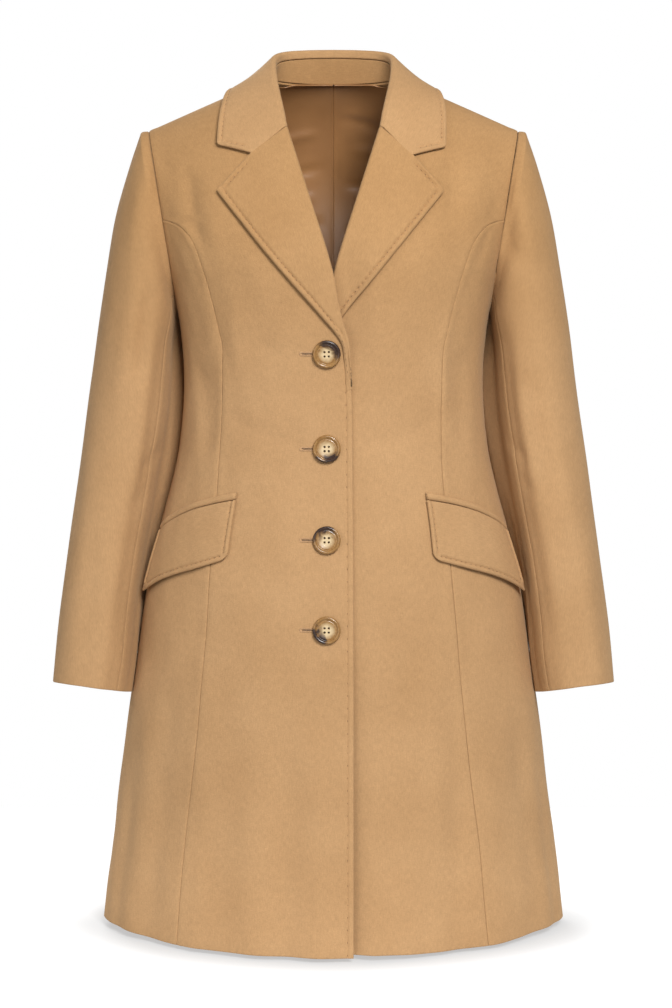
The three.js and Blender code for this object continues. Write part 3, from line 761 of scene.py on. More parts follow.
def panel(node_name, points, side, depth=0.0, inset=0.0, lift=0.0, free_edge=False):
    """Lays a shell on the body's form: the outer face is raised by the folds and the seam ridges,
    less a depth, and the inner face lies one thickness under it."""
    normal = body_normal(points)
    across = runs(points, 1)
    to_sides = (across, across[:, -1:] - across)
    ridge = seam_ridge(to_sides[1]) + (0 if free_edge else seam_ridge(to_sides[0]))
    rim = rim_inset(points, WOOL, (FREE if free_edge else SEWN, SEWN, FREE, SEWN))
    height = drape(mirror(points, side)) + ridge - depth + lift
    outer = points + normal * (height - rim - inset)[..., None]
    inner = points + normal * (height - WOOL + rim)[..., None]
    return cloth_piece(f"{node_name}_{'left' if side > 0 else 'right'}", mirror(outer, side),
                       mirror(inner, side), camel_wool)


# %% Fronts
FRONT_EDGE_STEPS = np.array([0.0, 0.35, 0.85, 1.5, 2.5, 3.8, 4.9, 5.7, 6.3, 6.9, 7.7, 9.0])
EDGE_STITCH = 6.3
PITCH = 6.5
under_lap = table("z depth", [
    (-896, 11), (-760, 9.5), (-640, 7), (-520, 4.5), (-430, 3.5), (-310, 3.5), (-265, 8.5), (-195, 8.5), (-150, 4), (-105, 0), (20, 0),
])


def lap_depth(points, side):
    """The left front lies under the right one, deeper where its own lapel lies between them."""
    if side < 0:
        return np.zeros(points.shape[:-1])
    return under_lap(points[..., 2]).depth * (1 - smoothstep(points[..., 0], 12, 46))


def front_points(side):
    levels = rows_of(FRONT)
    edge = crossing(FRONT, levels, lambda z: front_edge(z).x, -40.0, 90.0)
    inner = turn_at(FRONT, edge, levels)
    outer = outer_seam(FRONT, levels, side)

    def place(turn, level):
        return body_point(FRONT, turn, level)
    return panel_points(place, levels, inner, outer, 5.0, first=FRONT_EDGE_STEPS)


fronts = {}
for side in (-1, 1):
    points = front_points(side)
    from_edge = runs(points, 1)
    below_break = 1 - smoothstep(points[..., 2], -285, -262)
    run = runs(points, 0)
    beat = np.exp(-(((np.mod(run, PITCH) - PITCH / 2) / 1.5) ** 2))
    groove = np.exp(-(((from_edge - EDGE_STITCH) / 1.0) ** 2)) * (0.45 + 1.0 * beat) * below_break
    raised = 0.7 * (1 - smoothstep(from_edge, 4.5, 9)) * below_break if side < 0 else 0.0
    if side > 0:
        points[..., 2] += 2 * (1 - smoothstep(points[..., 2], HEM, HEM + 90)) * (
            1 - smoothstep(points[..., 0], 20, 120))
    fronts[side] = points
    panel("front", points, side, lap_depth(points, side), groove, raised, free_edge=True)

# %% Side fronts, side backs and backs


def side_points(face, side):
    levels = rows_of(face, top=JOIN_Z[face] - 0.2)
    seam = crossing(face, levels, princess_line(face, side), 60.0, 205.0)
    at_armhole = crossing(face, levels, lambda z: armhole(z).x, 60.0, 205.0)
    outer = np.where(levels <= UNDERARM, np.pi / 2, turn_at(face, at_armhole, levels))

    def place(turn, level):
        return body_point(face, turn, level)
    return panel_points(place, levels, turn_at(face, seam, levels), outer, 6.0)


def back_points(side):
    levels = rows_of(BACK)
    return panel_points(lowered_to_neck, levels, 0 * levels, outer_seam(BACK, levels, side), 6.0)


for side in (-1, 1):
    panel("side_front", side_points(FRONT, side), side)
    panel("side_back", side_points(BACK, side), side)
    panel("back", back_points(side), side)

# %% [markdown]
# ## Sleeves
#
# A coat sleeve is cut in two: a wide top sleeve and a narrow under sleeve, shaped so that the arm
# bends forwards. The rings run from the armhole to the cuff. Between the armhole and the first ring
# a cubic curve makes the slight roll of a sleeve head that is eased over the shoulder.

# %% Sleeve form
sleeve_ring = table("k out_x out_z in_x in_z y depth lean", [
    (1, 206.5, -42, 168.4, -240, 7, 60, 0),
    (2, 218.5, -77, 167.6, -253, 6, 64, 0),
    (3, 232, -126, 166.6, -268, 5, 65, 0),
    (4, 242, -180, 165.6, -285, 4, 64, 0),
    (5, 252, -240, 164.6, -305, 3, 62, 0),
    (6, 260, -300, 165.8, -334, 2, 60, 0.02),
    (7, 268.5, -362, 171.2, -374, 0, 58, 0.05),
    (8, 277, -422, 181.8, -428, -3, 56, 0.08),
    (9, 286, -484, 196, -491, -8, 54, 0.11),
    (10, 295, -557, 210.5, -566, -15, 51, 0.14),
    (11, 302.5, -630, 222.5, -641, -22, 48, 0.16),
])
CUFF_RING = 11
FRONT_SEAM, BACK_SEAM = np.radians(144), np.radians(240)
HEAD_ROLL = 2.6
SIDE_GAP, SIDE_REACH = 0.5, 8.0
side_valley = table("z width", [
    (-640, 0), (-600, 0), (-560, 3), (-480, 7), (-400, 10), (-320, 10), (-270, 6), (-235, 0), (-200, 0),
])


def ring_point(turn, k):
    """A tilted ellipse: out to in by the cosine of the turn, front to back by its sine."""
    size = sleeve_ring(k)
    middle_x, middle_z = (size.out_x + size.in_x) / 2, (size.out_z + size.in_z) / 2
    reach_x, reach_z = (size.out_x - size.in_x) / 2, (size.out_z - size.in_z) / 2
    x = middle_x + reach_x * np.cos(turn)
    y = size.y - size.depth * np.sin(turn)
    z = middle_z + reach_z * np.cos(turn) + size.lean * size.depth * np.sin(turn)
    return np.stack(np.broadcast_arrays(x, y, z), -1)


def armhole_point(turn):
    middle, half = (TIP_Z + UNDERARM) / 2, (TIP_Z - UNDERARM) / 2
    z = middle + half * np.cos(turn)
    face = np.where(np.sin(turn) >= 0, FRONT, BACK)
    return on_body(face, armhole(z).x, z)


def sleeve_point(turn, k):
    """Rings below the first one. Above it, the cubic from the armhole a to the first ring b, with
    end slopes of 1.2 (b - a) plus the roll outwards, and of the sleeve's own direction there."""
    turn, k = np.broadcast_arrays(turn, k)
    low = ring_point(turn, np.maximum(k, 1))
    a, b = armhole_point(turn), ring_point(turn, np.ones_like(k))
    down = ring_point(turn, np.full_like(k, 1.05)) - b
    reach = np.linalg.norm(b - a, axis=-1, keepdims=True)
    roll = HEAD_ROLL * np.clip(np.cos(turn), 0, 1)[..., None] * np.array([0.3, 0.0, 1.0])
    leave, arrive = 1.2 * (b - a) + roll, unit(down) * reach
    u = np.clip(k, 0, 1)[..., None]
    head = ((1 + 2 * u) * (1 - u) ** 2 * a + u * u * (3 - 2 * u) * b
            + u * (1 - u) ** 2 * leave + u * u * (u - 1) * arrive)
    return np.where((k >= 1)[..., None], low, head)


# %% Sleeve folds and pieces
SLEEVE_FOLDS = {
    -1: [
        (100, -200, 98, -315, -2.4, 9, 0),
        (80, -175, 76, -340, 1.3, 12, 0),
        (113, -92, 104, -148, -1.6, 6, 0),
        (62, -66, 70, -180, 1.4, 9, 2),
        (92, -58, 96, -135, -1.3, 8, 0),
        (120, -402, 168, -372, -1.0, 9, 3),
        (98, -438, 150, -424, -0.8, 9, 3),
        (72, -450, 88, -660, -1.3, 13, 0),
        (108, -470, 114, -670, 1.2, 12, 0),
        (40, -360, 60, -520, 1.0, 14, 0),
        (250, -342, 305, -368, -1.9, 9, -3),
        (244, -398, 292, -412, -1.6, 9, 2),
        (262, -446, 300, -452, -1.1, 9, 0),
        (300, -120, 318, -260, -1.5, 12, 0),
        (330, -260, 338, -430, 1.2, 14, 0),
    ],
    1: [
        (104, -98, 100, -188, -1.8, 10, 0),
        (72, -72, 74, -195, 1.4, 10, 0),
        (90, -60, 92, -120, -1.1, 8, 0),
        (95, -290, 90, -440, -1.5, 13, 0),
        (75, -300, 70, -490, 1.2, 14, 0),
        (112, -388, 158, -366, -0.8, 9, 3),
        (104, -420, 148, -410, -0.6, 9, 2),
        (88, -480, 96, -660, -1.4, 12, 0),
        (60, -470, 62, -650, 1.1, 13, 0),
        (246, -335, 296, -358, -1.7, 9, -3),
        (250, -385, 300, -402, -1.7, 9, 2),
        (256, -432, 290, -440, -1.0, 9, 0),
        (296, -130, 312, -250, -1.3, 12, 0),
        (326, -280, 330, -440, 1.3, 14, 0),
    ],
}


def sleeve_drape(turn, k, points, side):
    """Folds of a sleeve by its turn and height. They fade out at the armhole, and none stands up
    where the sleeve lies next to the body."""
    z = points[..., 2]
    size = sleeve_ring(np.maximum(k, 1))
    per_degree = np.radians((size.depth + np.hypot(size.out_x - size.in_x, 0) / 2) / 2)
    degrees = np.degrees(turn)
    height = FOLD_SCALE * fold_heights(degrees, z, per_degree, SLEEVE_FOLDS[side])
    height = height + waviness(degrees * side, z, SLEEVE_WAVES)
    inwards = np.exp(-((((degrees % 360) - 180) / 45) ** 4)) * (1 - smoothstep(z, -300, -240))
    height = np.where(height > 0, height * (1 - inwards), height)
    return height * smoothstep(k, 0, 0.6)


def grid_normals(points, away_from):
    """Normals from the directions of a grid's rows and columns, pointing away from a given line."""
    normal = unit(np.cross(np.gradient(points, axis=0), np.gradient(points, axis=1)))
    return normal * np.where(dot(normal, points - away_from) < 0, -1, 1)


def pressed_to_side(points, turn, middle_y):
    """A sleeve hangs against the body's side. Where its inner side is within reach, it is moved
    inwards by gap * reach / (gap ** 4 + reach ** 4) ** (1 / 4), which almost closes a small gap and
    moves a wide one by no more than the reach. Its front part stays further out, so that a deep
    narrow valley shows between sleeve and body."""
    x, y, z = np.moveaxis(points, -1, 0)
    size = ring(z)
    depth = np.where(y < 0, size.front, size.back)
    share = np.clip(1 - (np.abs(y) / depth) ** size.round, 0.02, 1) ** (1 / size.round)
    gap = np.maximum(x - size.half * share - SIDE_GAP, 0)
    behind = y - middle_y
    reach = SIDE_REACH * (1 - smoothstep(z, -275, -175)) * smoothstep(behind, -10, 12) + 0.01
    moved = gap * reach / (gap ** 4 + reach ** 4) ** 0.25
    inner = smoothstep(-np.cos(turn), 0.05, 0.6)
    at_flap = np.exp(-(((z + 497) / 48) ** 4)) * (1 - smoothstep(y, -34, -20))
    opened = side_valley(z).width * smoothstep(-np.cos(turn), 0.25, 0.8) * (
        1 - smoothstep(behind, -4, 20))
    shift = opened - moved * inner * (1 - at_flap)
    return points + shift[..., None] * np.array([1.0, 0.0, 0.0])


def sleeve(node_name, start, end, side):
    k = np.concatenate([np.linspace(0, 1, 12) ** 0.8, np.arange(1.06, CUFF_RING - 0.1, 0.075),
                        CUFF_RING - EDGE[::-1] / 72])
    share = np.linspace(start, end, 300)
    rough = sleeve_point(share[None], k[:, None])
    length = runs(rough, 1)[:, -1]
    turns = at_distances(rough, share, edge_spaced(length, int(length.max() / 3.6)))
    points = sleeve_point(turns, k[:, None])
    size = sleeve_ring(np.maximum(k, 1))
    axis = np.stack([(size.out_x + size.in_x) / 2, size.y, (size.out_z + size.in_z) / 2], -1)
    points = pressed_to_side(points, turns, size.y[:, None])
    normal = grid_normals(points, axis[:, None])
    normal = unit(mix(body_normal(armhole_point(turns)), normal, smoothstep(k, 0, 0.5)[:, None, None]))
    across = runs(points, 1)
    ridge = seam_ridge(across) + seam_ridge(across[:, -1:] - across)
    rim = rim_inset(points, WOOL, (SEWN, SEWN, SEWN, FREE))
    height = sleeve_drape(turns, k[:, None], points, side) + ridge * smoothstep(k[:, None], 0, 1)
    outer = points + normal * (height - rim)[..., None]
    inner = points + normal * (height - WOOL + rim)[..., None]
    hand = "left" if side > 0 else "right"
    cloth_piece(f"{node_name}_{hand}", mirror(outer, side), mirror(inner, side),
                camel_wool)


for side in (-1, 1):
    sleeve("top_sleeve", BACK_SEAM - 2 * np.pi, FRONT_SEAM, side)
    sleeve("under_sleeve", FRONT_SEAM, BACK_SEAM, side)

# %% [markdown]
# ## Stitch dimples
#
# The edges of lapels, collar and flaps are pick stitched by hand: small single stitches, a few
# millimetres apart, that pull the cloth down into a row of dimples. The dimples are in the mesh, and
# a short thread lies in each. A thread is a bent capsule with few sides, because there are hundreds.

# %% Pick stitching
STITCH_LINE = 5.6
PICK_EDGE = np.array([0.0, 0.3, 0.8, 1.5, 2.5, 3.6, 4.6, 5.2, 5.6, 6.0, 6.7, 7.8, 9.2])
PICK_COLUMN = int(np.argmin(np.abs(PICK_EDGE - STITCH_LINE)))
threads = []


def edge_relief(from_edge, along_edge, depth=2.0, swell=0.85):
    """How far the face is drawn in near a stitched edge. Each dimple is a bell across the edge and
    along it, and a faint groove joins them. Between the dimples and the edge the cloth swells."""
    across = np.exp(-(((from_edge - STITCH_LINE) / 1.25) ** 2))
    phase = np.mod(along_edge, PITCH) - PITCH / 2
    plump = swell * np.exp(-(((from_edge - 2.7) / 1.5) ** 2))
    return depth * across * (0.2 + 0.8 * np.exp(-((phase / 1.35) ** 2))) - plump


def thread_at(middles, along, up, length=2.4, radius=0.32):
    """Capsules that dip at both ends: the middle line is length * t / 2 along and falls by the
    square of t, and the radius shrinks as the root of 1 - t * t."""
    t = np.linspace(-1, 1, 6)
    turn = np.arange(5) * 2 * np.pi / 5
    side = np.cross(up, along)
    line = (middles[:, None] + along[:, None] * (length / 2 * t)[None, :, None]
            - up[:, None] * (0.28 * t ** 2)[None, :, None])
    thick = radius * np.sqrt(np.clip(1 - (0.96 * t) ** 2, 0, 1))
    circle = (side[:, None, None] * np.cos(turn)[:, None] + up[:, None, None] * np.sin(turn)[:, None])
    tube = line[:, :, None] + circle * thick[None, :, None, None]
    threads.append(tube)
    return len(middles)


def stitch_along(line, normal, from_end=PITCH / 2, to_end=PITCH / 2, pitch=PITCH, length=2.4):
    """Threads at even distances along a line of points that lies on the cloth."""
    run = runs(line, 0)
    places = np.arange(from_end, run[-1] - to_end, pitch)
    def read(values):
        return np.stack([np.interp(places, run, values[:, c]) for c in range(3)], -1)
    along = unit(read(np.gradient(line, axis=0)))
    up = unit(read(normal))
    return thread_at(read(line) + up * 0.06, along, unit(up - along * dot(up, along)), length)


# %% [markdown]
# ## Lapels
#
# A lapel is the front's own edge, folded back over the roll line. Across, it turns in an arc of
# about two thirds of a circle at the roll and then lies down on the front, a little above it near
# the roll and close to it at the outer edge. Its tip is slightly rounded.

# %% Lapel form
GORGE_Z, BREAK_Z = -46, -262
LAPEL_SEAT = 2.6
ROLL_DROP, ROLL_PAST = 1.6, 2.9
TIP_ROUNDING = 4.0
# The wearer's right lapel reaches further out, and its edge runs on as the front's stitched edge.
lapel_edge = {
    -1: table("p x z", [(0, 119.3, -110), (0.4, 68.3, -174.5), (0.76, 14.8, -236), (1, -7.5, -264.5),
                        (1.1, -11, -284), (1.22, -12.8, -311), (1.35, -13.6, -338)]),
    1: table("p x z", [(0, 114, -110), (0.4, 64.5, -171), (0.76, 13.5, -234), (1, -7, -264)]),
}
LAPEL_END = {-1: 1.24, 1: 1.0}
NOTCH_AT, NOTCH_RISE = 0.5, {-1: 6.2, 1: 3.4}


def roll_radius(z):
    return mix(2.4, 3.8, np.clip((z - BREAK_Z) / 120, 0, 1))


def turned_height(distance, radius, drop=ROLL_DROP, low=FACED + LAPEL_SEAT):
    """Height of a turned piece above its panel: high beside the roll, and low from there on, by a
    bell curve of the distance from the roll."""
    high = 2 * radius - drop
    return low + (high - low) * np.exp(-((distance / 16) ** 2))


def lapel_frame(p, side):
    """At each share p of the way down the roll line: the root on it, the tip on the outer edge, the
    directions up from the front and over towards the tip, and the centre of the roll. Past the end
    of the roll line, where p is more than 1, the roll shrinks to the thickness of the front's edge."""
    z = mix(GORGE_Z, BREAK_Z, p)
    root_x, tip = front_edge(z).x, lapel_edge[side](p)
    ending = smoothstep(p, 1.0, 1.16)
    drop, past = mix(ROLL_DROP, 2.2, ending), mix(ROLL_PAST, 0.35, ending)
    base = on_body(FRONT, root_x, z)
    up = body_normal(base)
    over = on_body(FRONT, mix(root_x, tip.x, 0.1), mix(z, tip.z, 0.1)) - base
    over = unit(over - up * dot(over, up))
    radius = mix(roll_radius(z), 1.6, ending)
    centre = base + up * (radius - drop)[..., None] + over * (radius - past)[..., None]
    return SimpleNamespace(x=root_x, z=z, tip=tip, base=base, up=up, over=over, radius=radius,
                           centre=centre, length=np.hypot(tip.x - root_x, tip.z - z), drop=drop,
                           low=mix(FACED + LAPEL_SEAT, 0.95, ending))


def rounded(a, b, radius):
    """Rounds the corner where two edge distances are both small, by mapping the corner's square to
    a quarter disc: p = p * sqrt(1 - q * q / 2), q = q * sqrt(1 - p * p / 2), from its far corner."""
    p, q = np.clip(1 - a / radius, 0, 1), np.clip(1 - b / radius, 0, 1)
    return (np.where(p > 0, radius * (1 - p * np.sqrt(1 - q * q / 2)), a),
            np.where(q > 0, radius * (1 - q * np.sqrt(1 - p * p / 2)), b))


def lapel(side):
    fine = np.linspace(0, LAPEL_END[side], 400)
    tip = lapel_edge[side](fine)
    edge_run = runs(on_body(FRONT, tip.x, tip.z), 0)
    down = edge_spaced(edge_run[-1], 118, first=PICK_EDGE, last=EDGE)[0]
    row = lapel_frame(np.interp(down, edge_run, fine), side)
    start = np.minimum((row.radius - ROLL_PAST + 1) / row.length, 0.3) * row.length
    spaced = edge_spaced(row.length - start, 22, first=np.array([0.0, 2.0]), last=PICK_EDGE)
    from_edge = (row.length - start)[:, None] - spaced
    a, b = rounded(np.broadcast_to(down[:, None], from_edge.shape), from_edge, TIP_ROUNDING)
    at = lapel_frame(np.interp(a, edge_run, fine), side)
    share = 1 - b / at.length
    towards = np.minimum(share / NOTCH_AT, (1 - share) / (1 - NOTCH_AT))
    notch = NOTCH_RISE[side] * np.clip(towards, 0, 1) * (1 - smoothstep(a, 0, 50))
    base = on_body(FRONT, mix(at.x, at.tip.x, share), mix(at.z, at.tip.z, share) + notch)
    normal = body_normal(base)
    low = drape(mirror(base, side)) - lap_depth(base, side)
    low_root = drape(mirror(row.base, side)) - lap_depth(row.centre, side)
    arc = np.radians(np.linspace(228, 92, 16))

    def surface(inset_arc, inset_flat):
        radius = np.maximum(row.radius[:, None] - inset_arc, 0.35)[..., None]
        rolled = (row.centre[:, None] + row.over[:, None] * np.cos(arc)[:, None] * radius
                  + row.up[:, None] * (np.sin(arc)[:, None] * radius + low_root[:, None, None]))
        height = turned_height(share * at.length, at.radius, at.drop, at.low) + low - inset_flat
        return np.concatenate([rolled, base + normal * height[..., None]], axis=1)

    whole = surface(0 * arc, 0 * a)
    rim = rim_inset(whole, FACED)
    stitched = edge_relief(from_edge, down[:, None]) * smoothstep(down[:, None], 3, 6)
    stitched += edge_relief(down[:, None], from_edge) * smoothstep(share, 0.52, 0.56) * (from_edge > 9)
    stitched *= 1 - smoothstep(down[:, None], edge_run[-1] - 14, edge_run[-1] - 8)
    flat = slice(len(arc), None)
    outer = surface(rim[:, :len(arc)], rim[:, flat] + stitched)
    inner = surface(FACED - rim[:, :len(arc)], FACED - rim[:, flat])
    hand = "left" if side > 0 else "right"
    outer, inner = mirror(outer, side), mirror(inner, side)
    cloth_piece(f"lapel_{hand}", outer, inner, lapel_wool)
    up = mirror(np.concatenate([np.broadcast_to(row.up[:, None], rolled_shape(row, arc)), normal], 1),
                side)
    column = outer.shape[1] - 1 - PICK_COLUMN
    keep = (down > 8) & (down < edge_run[-1] - 12)
    stitch_along(outer[keep, column], up[keep, column])
    top = np.flatnonzero((share[PICK_COLUMN] > 0.55) & (from_edge[PICK_COLUMN] > 9)) + len(arc)
    stitch_along(outer[PICK_COLUMN, top], up[PICK_COLUMN, top])


def rolled_shape(row, arc):
    return (len(row.z), len(arc), 3)


for side in (-1, 1):
    lapel(side)

# %% [markdown]
# ## Collar
#
# The collar has a stand, which rises from the neck seam, and a fall, which turns over it and lies on
# the shoulders. Half of it is worked out, from its front end at the gorge to the middle of the back,
# and then mirrored. At each station the fall goes up inside the neck, over the roll and down.

# %% Collar form
collar_roll = table("w x y z", [
    (0.2, 57, -50, -15), (0.38, 62.3, -24, 9), (0.5, 64.6, -2, 26.5), (0.61, 63.5, 18, 38.5),
    (0.74, 53, 38, 45.5), (0.88, 28.5, 50.5, 49), (1, 0, 54.5, 50),
])
collar_edge = table("w x y z", [
    (0, 119.5, -62, -62), (0.2, 119, -46, -36), (0.38, 116.5, -26, -13), (0.5, 113, -3, 3),
    (0.61, 108, 26, 0), (0.74, 90, 58, -12), (0.88, 51, 82, -19), (1, 0, 90, -21),
])
neck_seam = table("w x z", [
    (0, 49, -46), (0.2, 57, -20), (0.38, 65.5, 7), (0.5, 69, NECK_Z), (0.62, 62, NECK_Z),
    (0.76, 44, NECK_Z), (1, 0, NECK_Z),
])
NOTCH_SHARE, NOTCH_DIP = 0.43, 25
# In the picture the left front end of the collar lies a little lower and further in.
FRONT_END_SHIFT = {-1: np.array([0.0, 0.0, -0.8]), 1: np.array([-4.6, 0.0, -4.6])}
COLLAR_RADIUS, INSIDE = 3.8, 6
STAND_START = 0.17


def xyz(row):
    return np.stack([row.x, row.y, row.z], -1)


def collar_frame(w):
    """The roll's centre, the fall's edge, and the directions up and over. Near the front end they
    turn into those of the lapel, which the collar is sewn to."""
    lapel_end = lapel_frame(np.zeros(1), 1)
    first, lapel_up, lapel_over = lapel_end.centre[0], lapel_end.up[0], lapel_end.over[0]
    near = smoothstep(w, 0, 0.2)[..., None]
    joined = mix(first, xyz(collar_roll(0.2 * np.ones_like(w))), (w / 0.2)[..., None])
    centre = np.where((w < 0.2)[..., None], joined, xyz(collar_roll(w)))
    edge = settle(xyz(collar_edge(w)), FACED + COLLAR_SEAT, exact=True)
    up = unit(mix(lapel_up, np.array([0.0, 0.0, 1.0]), smoothstep(w, 0, 0.5)[..., None]))
    over = edge - centre
    over = unit(over - up * dot(over, up))
    turned = mix(lapel_over, over, near)
    turned = unit(turned - up * dot(turned, up))
    over = np.where(near < 1, turned, over)
    return centre, edge, up, over


def collar_surface(w, inside, arc, share, inset, side=-1):
    """Points of the fall: a straight part inside the neck, an arc over the roll, and a part that
    leads to the edge and rests on the shoulder. w and share are grids, inside and arc are rows of
    numbers from 0 to 1, and inset is a grid over all columns."""
    cut = np.cumsum([inside.size, arc.size])
    first_w = w[:, 0]
    centre, edge, up, over = collar_frame(first_w)
    within = smoothstep(first_w, 0.05, 0.4)[:, None]
    to_edge = edge - centre
    leave = np.pi / 2 + np.arctan2(dot(to_edge, up), dot(to_edge, over)) * within

    def around(turn, r):
        return (centre[:, None] + over[:, None] * (r * np.cos(turn))[..., None]
                + up[:, None] * (r * np.sin(turn))[..., None])

    r_in, r_arc = (COLLAR_RADIUS - part for part in np.split(inset, cut, axis=1)[:2])
    arc_start = mix(np.radians(200), np.pi, within)
    first_turn = np.pi + np.radians(48) * (1 - within)
    start_turn = mix(first_turn, arc_start, inside[None])
    inner_part = around(start_turn, np.maximum(r_in, 0.35))
    inner_part = inner_part - up[:, None] * (INSIDE * within * (1 - inside[None]))[..., None]
    arc_part = around(mix(arc_start, leave, arc[None] * 0.92), np.maximum(r_arc, 0.35))

    centre, edge, up, over = collar_frame(w)
    within = smoothstep(w, 0.05, 0.4)
    to_edge = edge - centre
    leave = np.pi / 2 + np.arctan2(dot(to_edge, up), dot(to_edge, over))[..., 0] * within
    r_fall = (COLLAR_RADIUS - np.split(inset, cut, axis=1)[2])[..., None]
    start = (centre + over * r_fall * np.cos(leave)[..., None]
             + up * r_fall * np.sin(leave)[..., None])
    fall = mix(start, edge, share[..., None])
    towards = np.where(share < NOTCH_SHARE, share / NOTCH_SHARE, (1 - share) / (1 - NOTCH_SHARE))
    bend = (1 - smoothstep(w, 0, 0.36)) * NOTCH_DIP
    fall[..., 2] -= bend * towards
    front_end = smoothstep(share, 0, NOTCH_SHARE) * (1 - smoothstep(w, 0, 0.42))
    fall += FRONT_END_SHIFT[side] * front_end[..., None]
    distance = np.linalg.norm(fall - centre, axis=-1)
    flat_inset = np.split(inset, cut, axis=1)[2]
    rolled = turned_height(distance, COLLAR_RADIUS) - flat_inset
    clearance = mix(rolled, FACED + COLLAR_SEAT - flat_inset, within)
    fall = settle(fall, clearance, exact=share >= 0.999)
    return np.concatenate([inner_part, arc_part, fall], axis=1)


# %% Collar pieces


def collar_fall():
    fine = np.linspace(0, 1, 500)
    edge_run = runs(xyz(collar_edge(fine)), 0)
    down = edge_spaced(edge_run[-1], 116, first=PICK_EDGE, last=np.array([0.0, 1.5]))[0]
    w_row = np.interp(down, edge_run, fine)
    centre, edge, up, over = collar_frame(w_row)
    length = np.linalg.norm(edge - centre, axis=-1)
    spaced = edge_spaced(length, 22, first=np.array([0.6, 2.0]), last=PICK_EDGE)
    from_edge = length[:, None] - spaced
    a, b = rounded(np.broadcast_to(down[:, None], from_edge.shape), from_edge, TIP_ROUNDING)
    w = np.interp(a, edge_run, fine)
    share = 1 - b / length[:, None]
    inside, arc = np.linspace(0, 1, 6)[:-1], np.linspace(0, 1, 14)
    lead = inside.size + arc.size
    zero = np.zeros((len(w_row), lead + share.shape[1]))
    stitched = np.zeros_like(zero)
    stitched[:, lead:] = edge_relief(from_edge, down[:, None]) * smoothstep(down[:, None], 3, 6)
    front_end = edge_relief(down[:, None], from_edge) * (share > NOTCH_SHARE + 0.08) * (from_edge > 9)
    stitched[:, lead:] += front_end

    halves = {}
    for side in (-1, 1):
        def surface(inset):
            return collar_surface(w, inside, arc, share, inset, side)

        whole = surface(zero)
        rim = rim_inset(whole, FACED, (SEWN, FREE, FREE, 0))
        shift = unit(whole[6] - whole[0])[lead // 2] * SEAM * np.exp(-down / 4)[:, None, None]
        halves[side] = [surface(rim + stitched) + shift, surface(FACED - rim) + shift]
        outer = halves[side][0]
        normal = grid_normals(outer, np.array([0.0, 0.0, -400.0]))
        column = outer.shape[1] - 1 - PICK_COLUMN
        keep = down > 8
        stitch_along(mirror(outer[keep, column], side), mirror(normal[keep, column], side))
        end = np.flatnonzero((share[PICK_COLUMN] > NOTCH_SHARE + 0.1) & (from_edge[PICK_COLUMN] > 9))
        end = end + lead
        stitch_along(mirror(outer[PICK_COLUMN, end], side), mirror(normal[PICK_COLUMN, end], side))
    both = [np.concatenate([mirror(right, -1), left[:-1][::-1]])
            for right, left in zip(halves[-1], halves[1])]
    cloth_piece("collar_fall", both[0], both[1], collar_wool)


def collar_stand():
    w = np.linspace(STAND_START, 1, 70)
    inside, arc = np.linspace(0, 1, 6)[:-1], np.linspace(0, 1, 14)
    share = np.tile(np.linspace(0.3, 1, 3), (len(w), 1))
    columns = inside.size + arc.size + share.shape[1]
    line = collar_surface(np.tile(w[:, None], (1, 3)), inside, arc, share, np.zeros((len(w), columns)))
    up = collar_frame(w)[2]
    top = line[:, 0] - up * SEAM
    seam = neck_seam(w)
    front_foot = on_body(FRONT, seam.x, seam.z)
    back_foot = on_body(BACK, seam.x, np.minimum(seam.z, shoulder_height(seam.x)))
    foot = np.where((w < 0.5)[:, None], front_foot, back_foot) + up * SEAM * 1.5
    rise = np.concatenate([EDGE / 24, np.linspace(0.35, 0.65, 5), 1 - EDGE[::-1] / 24])
    rise[[0, -1]] = 0, 1
    inner = foot[:, None] + (top - foot)[:, None] * rise[None, :, None]
    away = unit(inner * np.array([1.0, 1.0, 0.0]))
    rim = rim_inset(inner, WOOL, (SEWN, SEWN, SEWN, 0))[..., None]
    outer = inner + away * (WOOL - rim)
    inner = inner + away * rim
    both = [np.concatenate([mirror(half, -1), half[:-1][::-1]]) for half in (outer, inner)]
    cloth_piece("collar_stand", both[0], both[1], lapel_wool)


collar_fall()
collar_stand()

# %% [markdown]
# ## Pocket flaps and welts
#
# Each flap hangs from under a narrow welt, slanted down towards the side. It lies a little above the
# coat, more at its low back corner, and its low front corner is rounded.

# %% Flaps and welts
flap_lines = {
    -1: table("c turn top foot drop lift", [
        (0, 32.2, -428, 33, -489, 0), (0.25, 43, -434, 44, -499.5, 0.3), (0.5, 54, -442, 55, -508.5, 0.8),
        (0.75, 65, -453, 66, -519, 1.8), (1, 76, -466, 77.5, -532, 4),
    ]),
    1: table("c turn top foot drop lift", [
        (0, 30.4, -428, 30.8, -489, 0), (0.25, 42, -434, 43, -499.5, 0.3), (0.5, 53.6, -442, 54.6, -508.5, 0.8),
        (0.75, 65, -453, 66, -519, 1.8), (1, 76, -466, 77.5, -532, 4),
    ]),
}
WELT = 7.5
POCKET_SEAT = 1.0
FLAP_CORNER, FLAP_HEEL = 9.0, 2.5


def flap_base(c, r, side):
    at = flap_lines[side](c)
    return body_point(FRONT, np.radians(mix(at.turn, at.foot, r)), mix(at.top, at.drop, r)), at


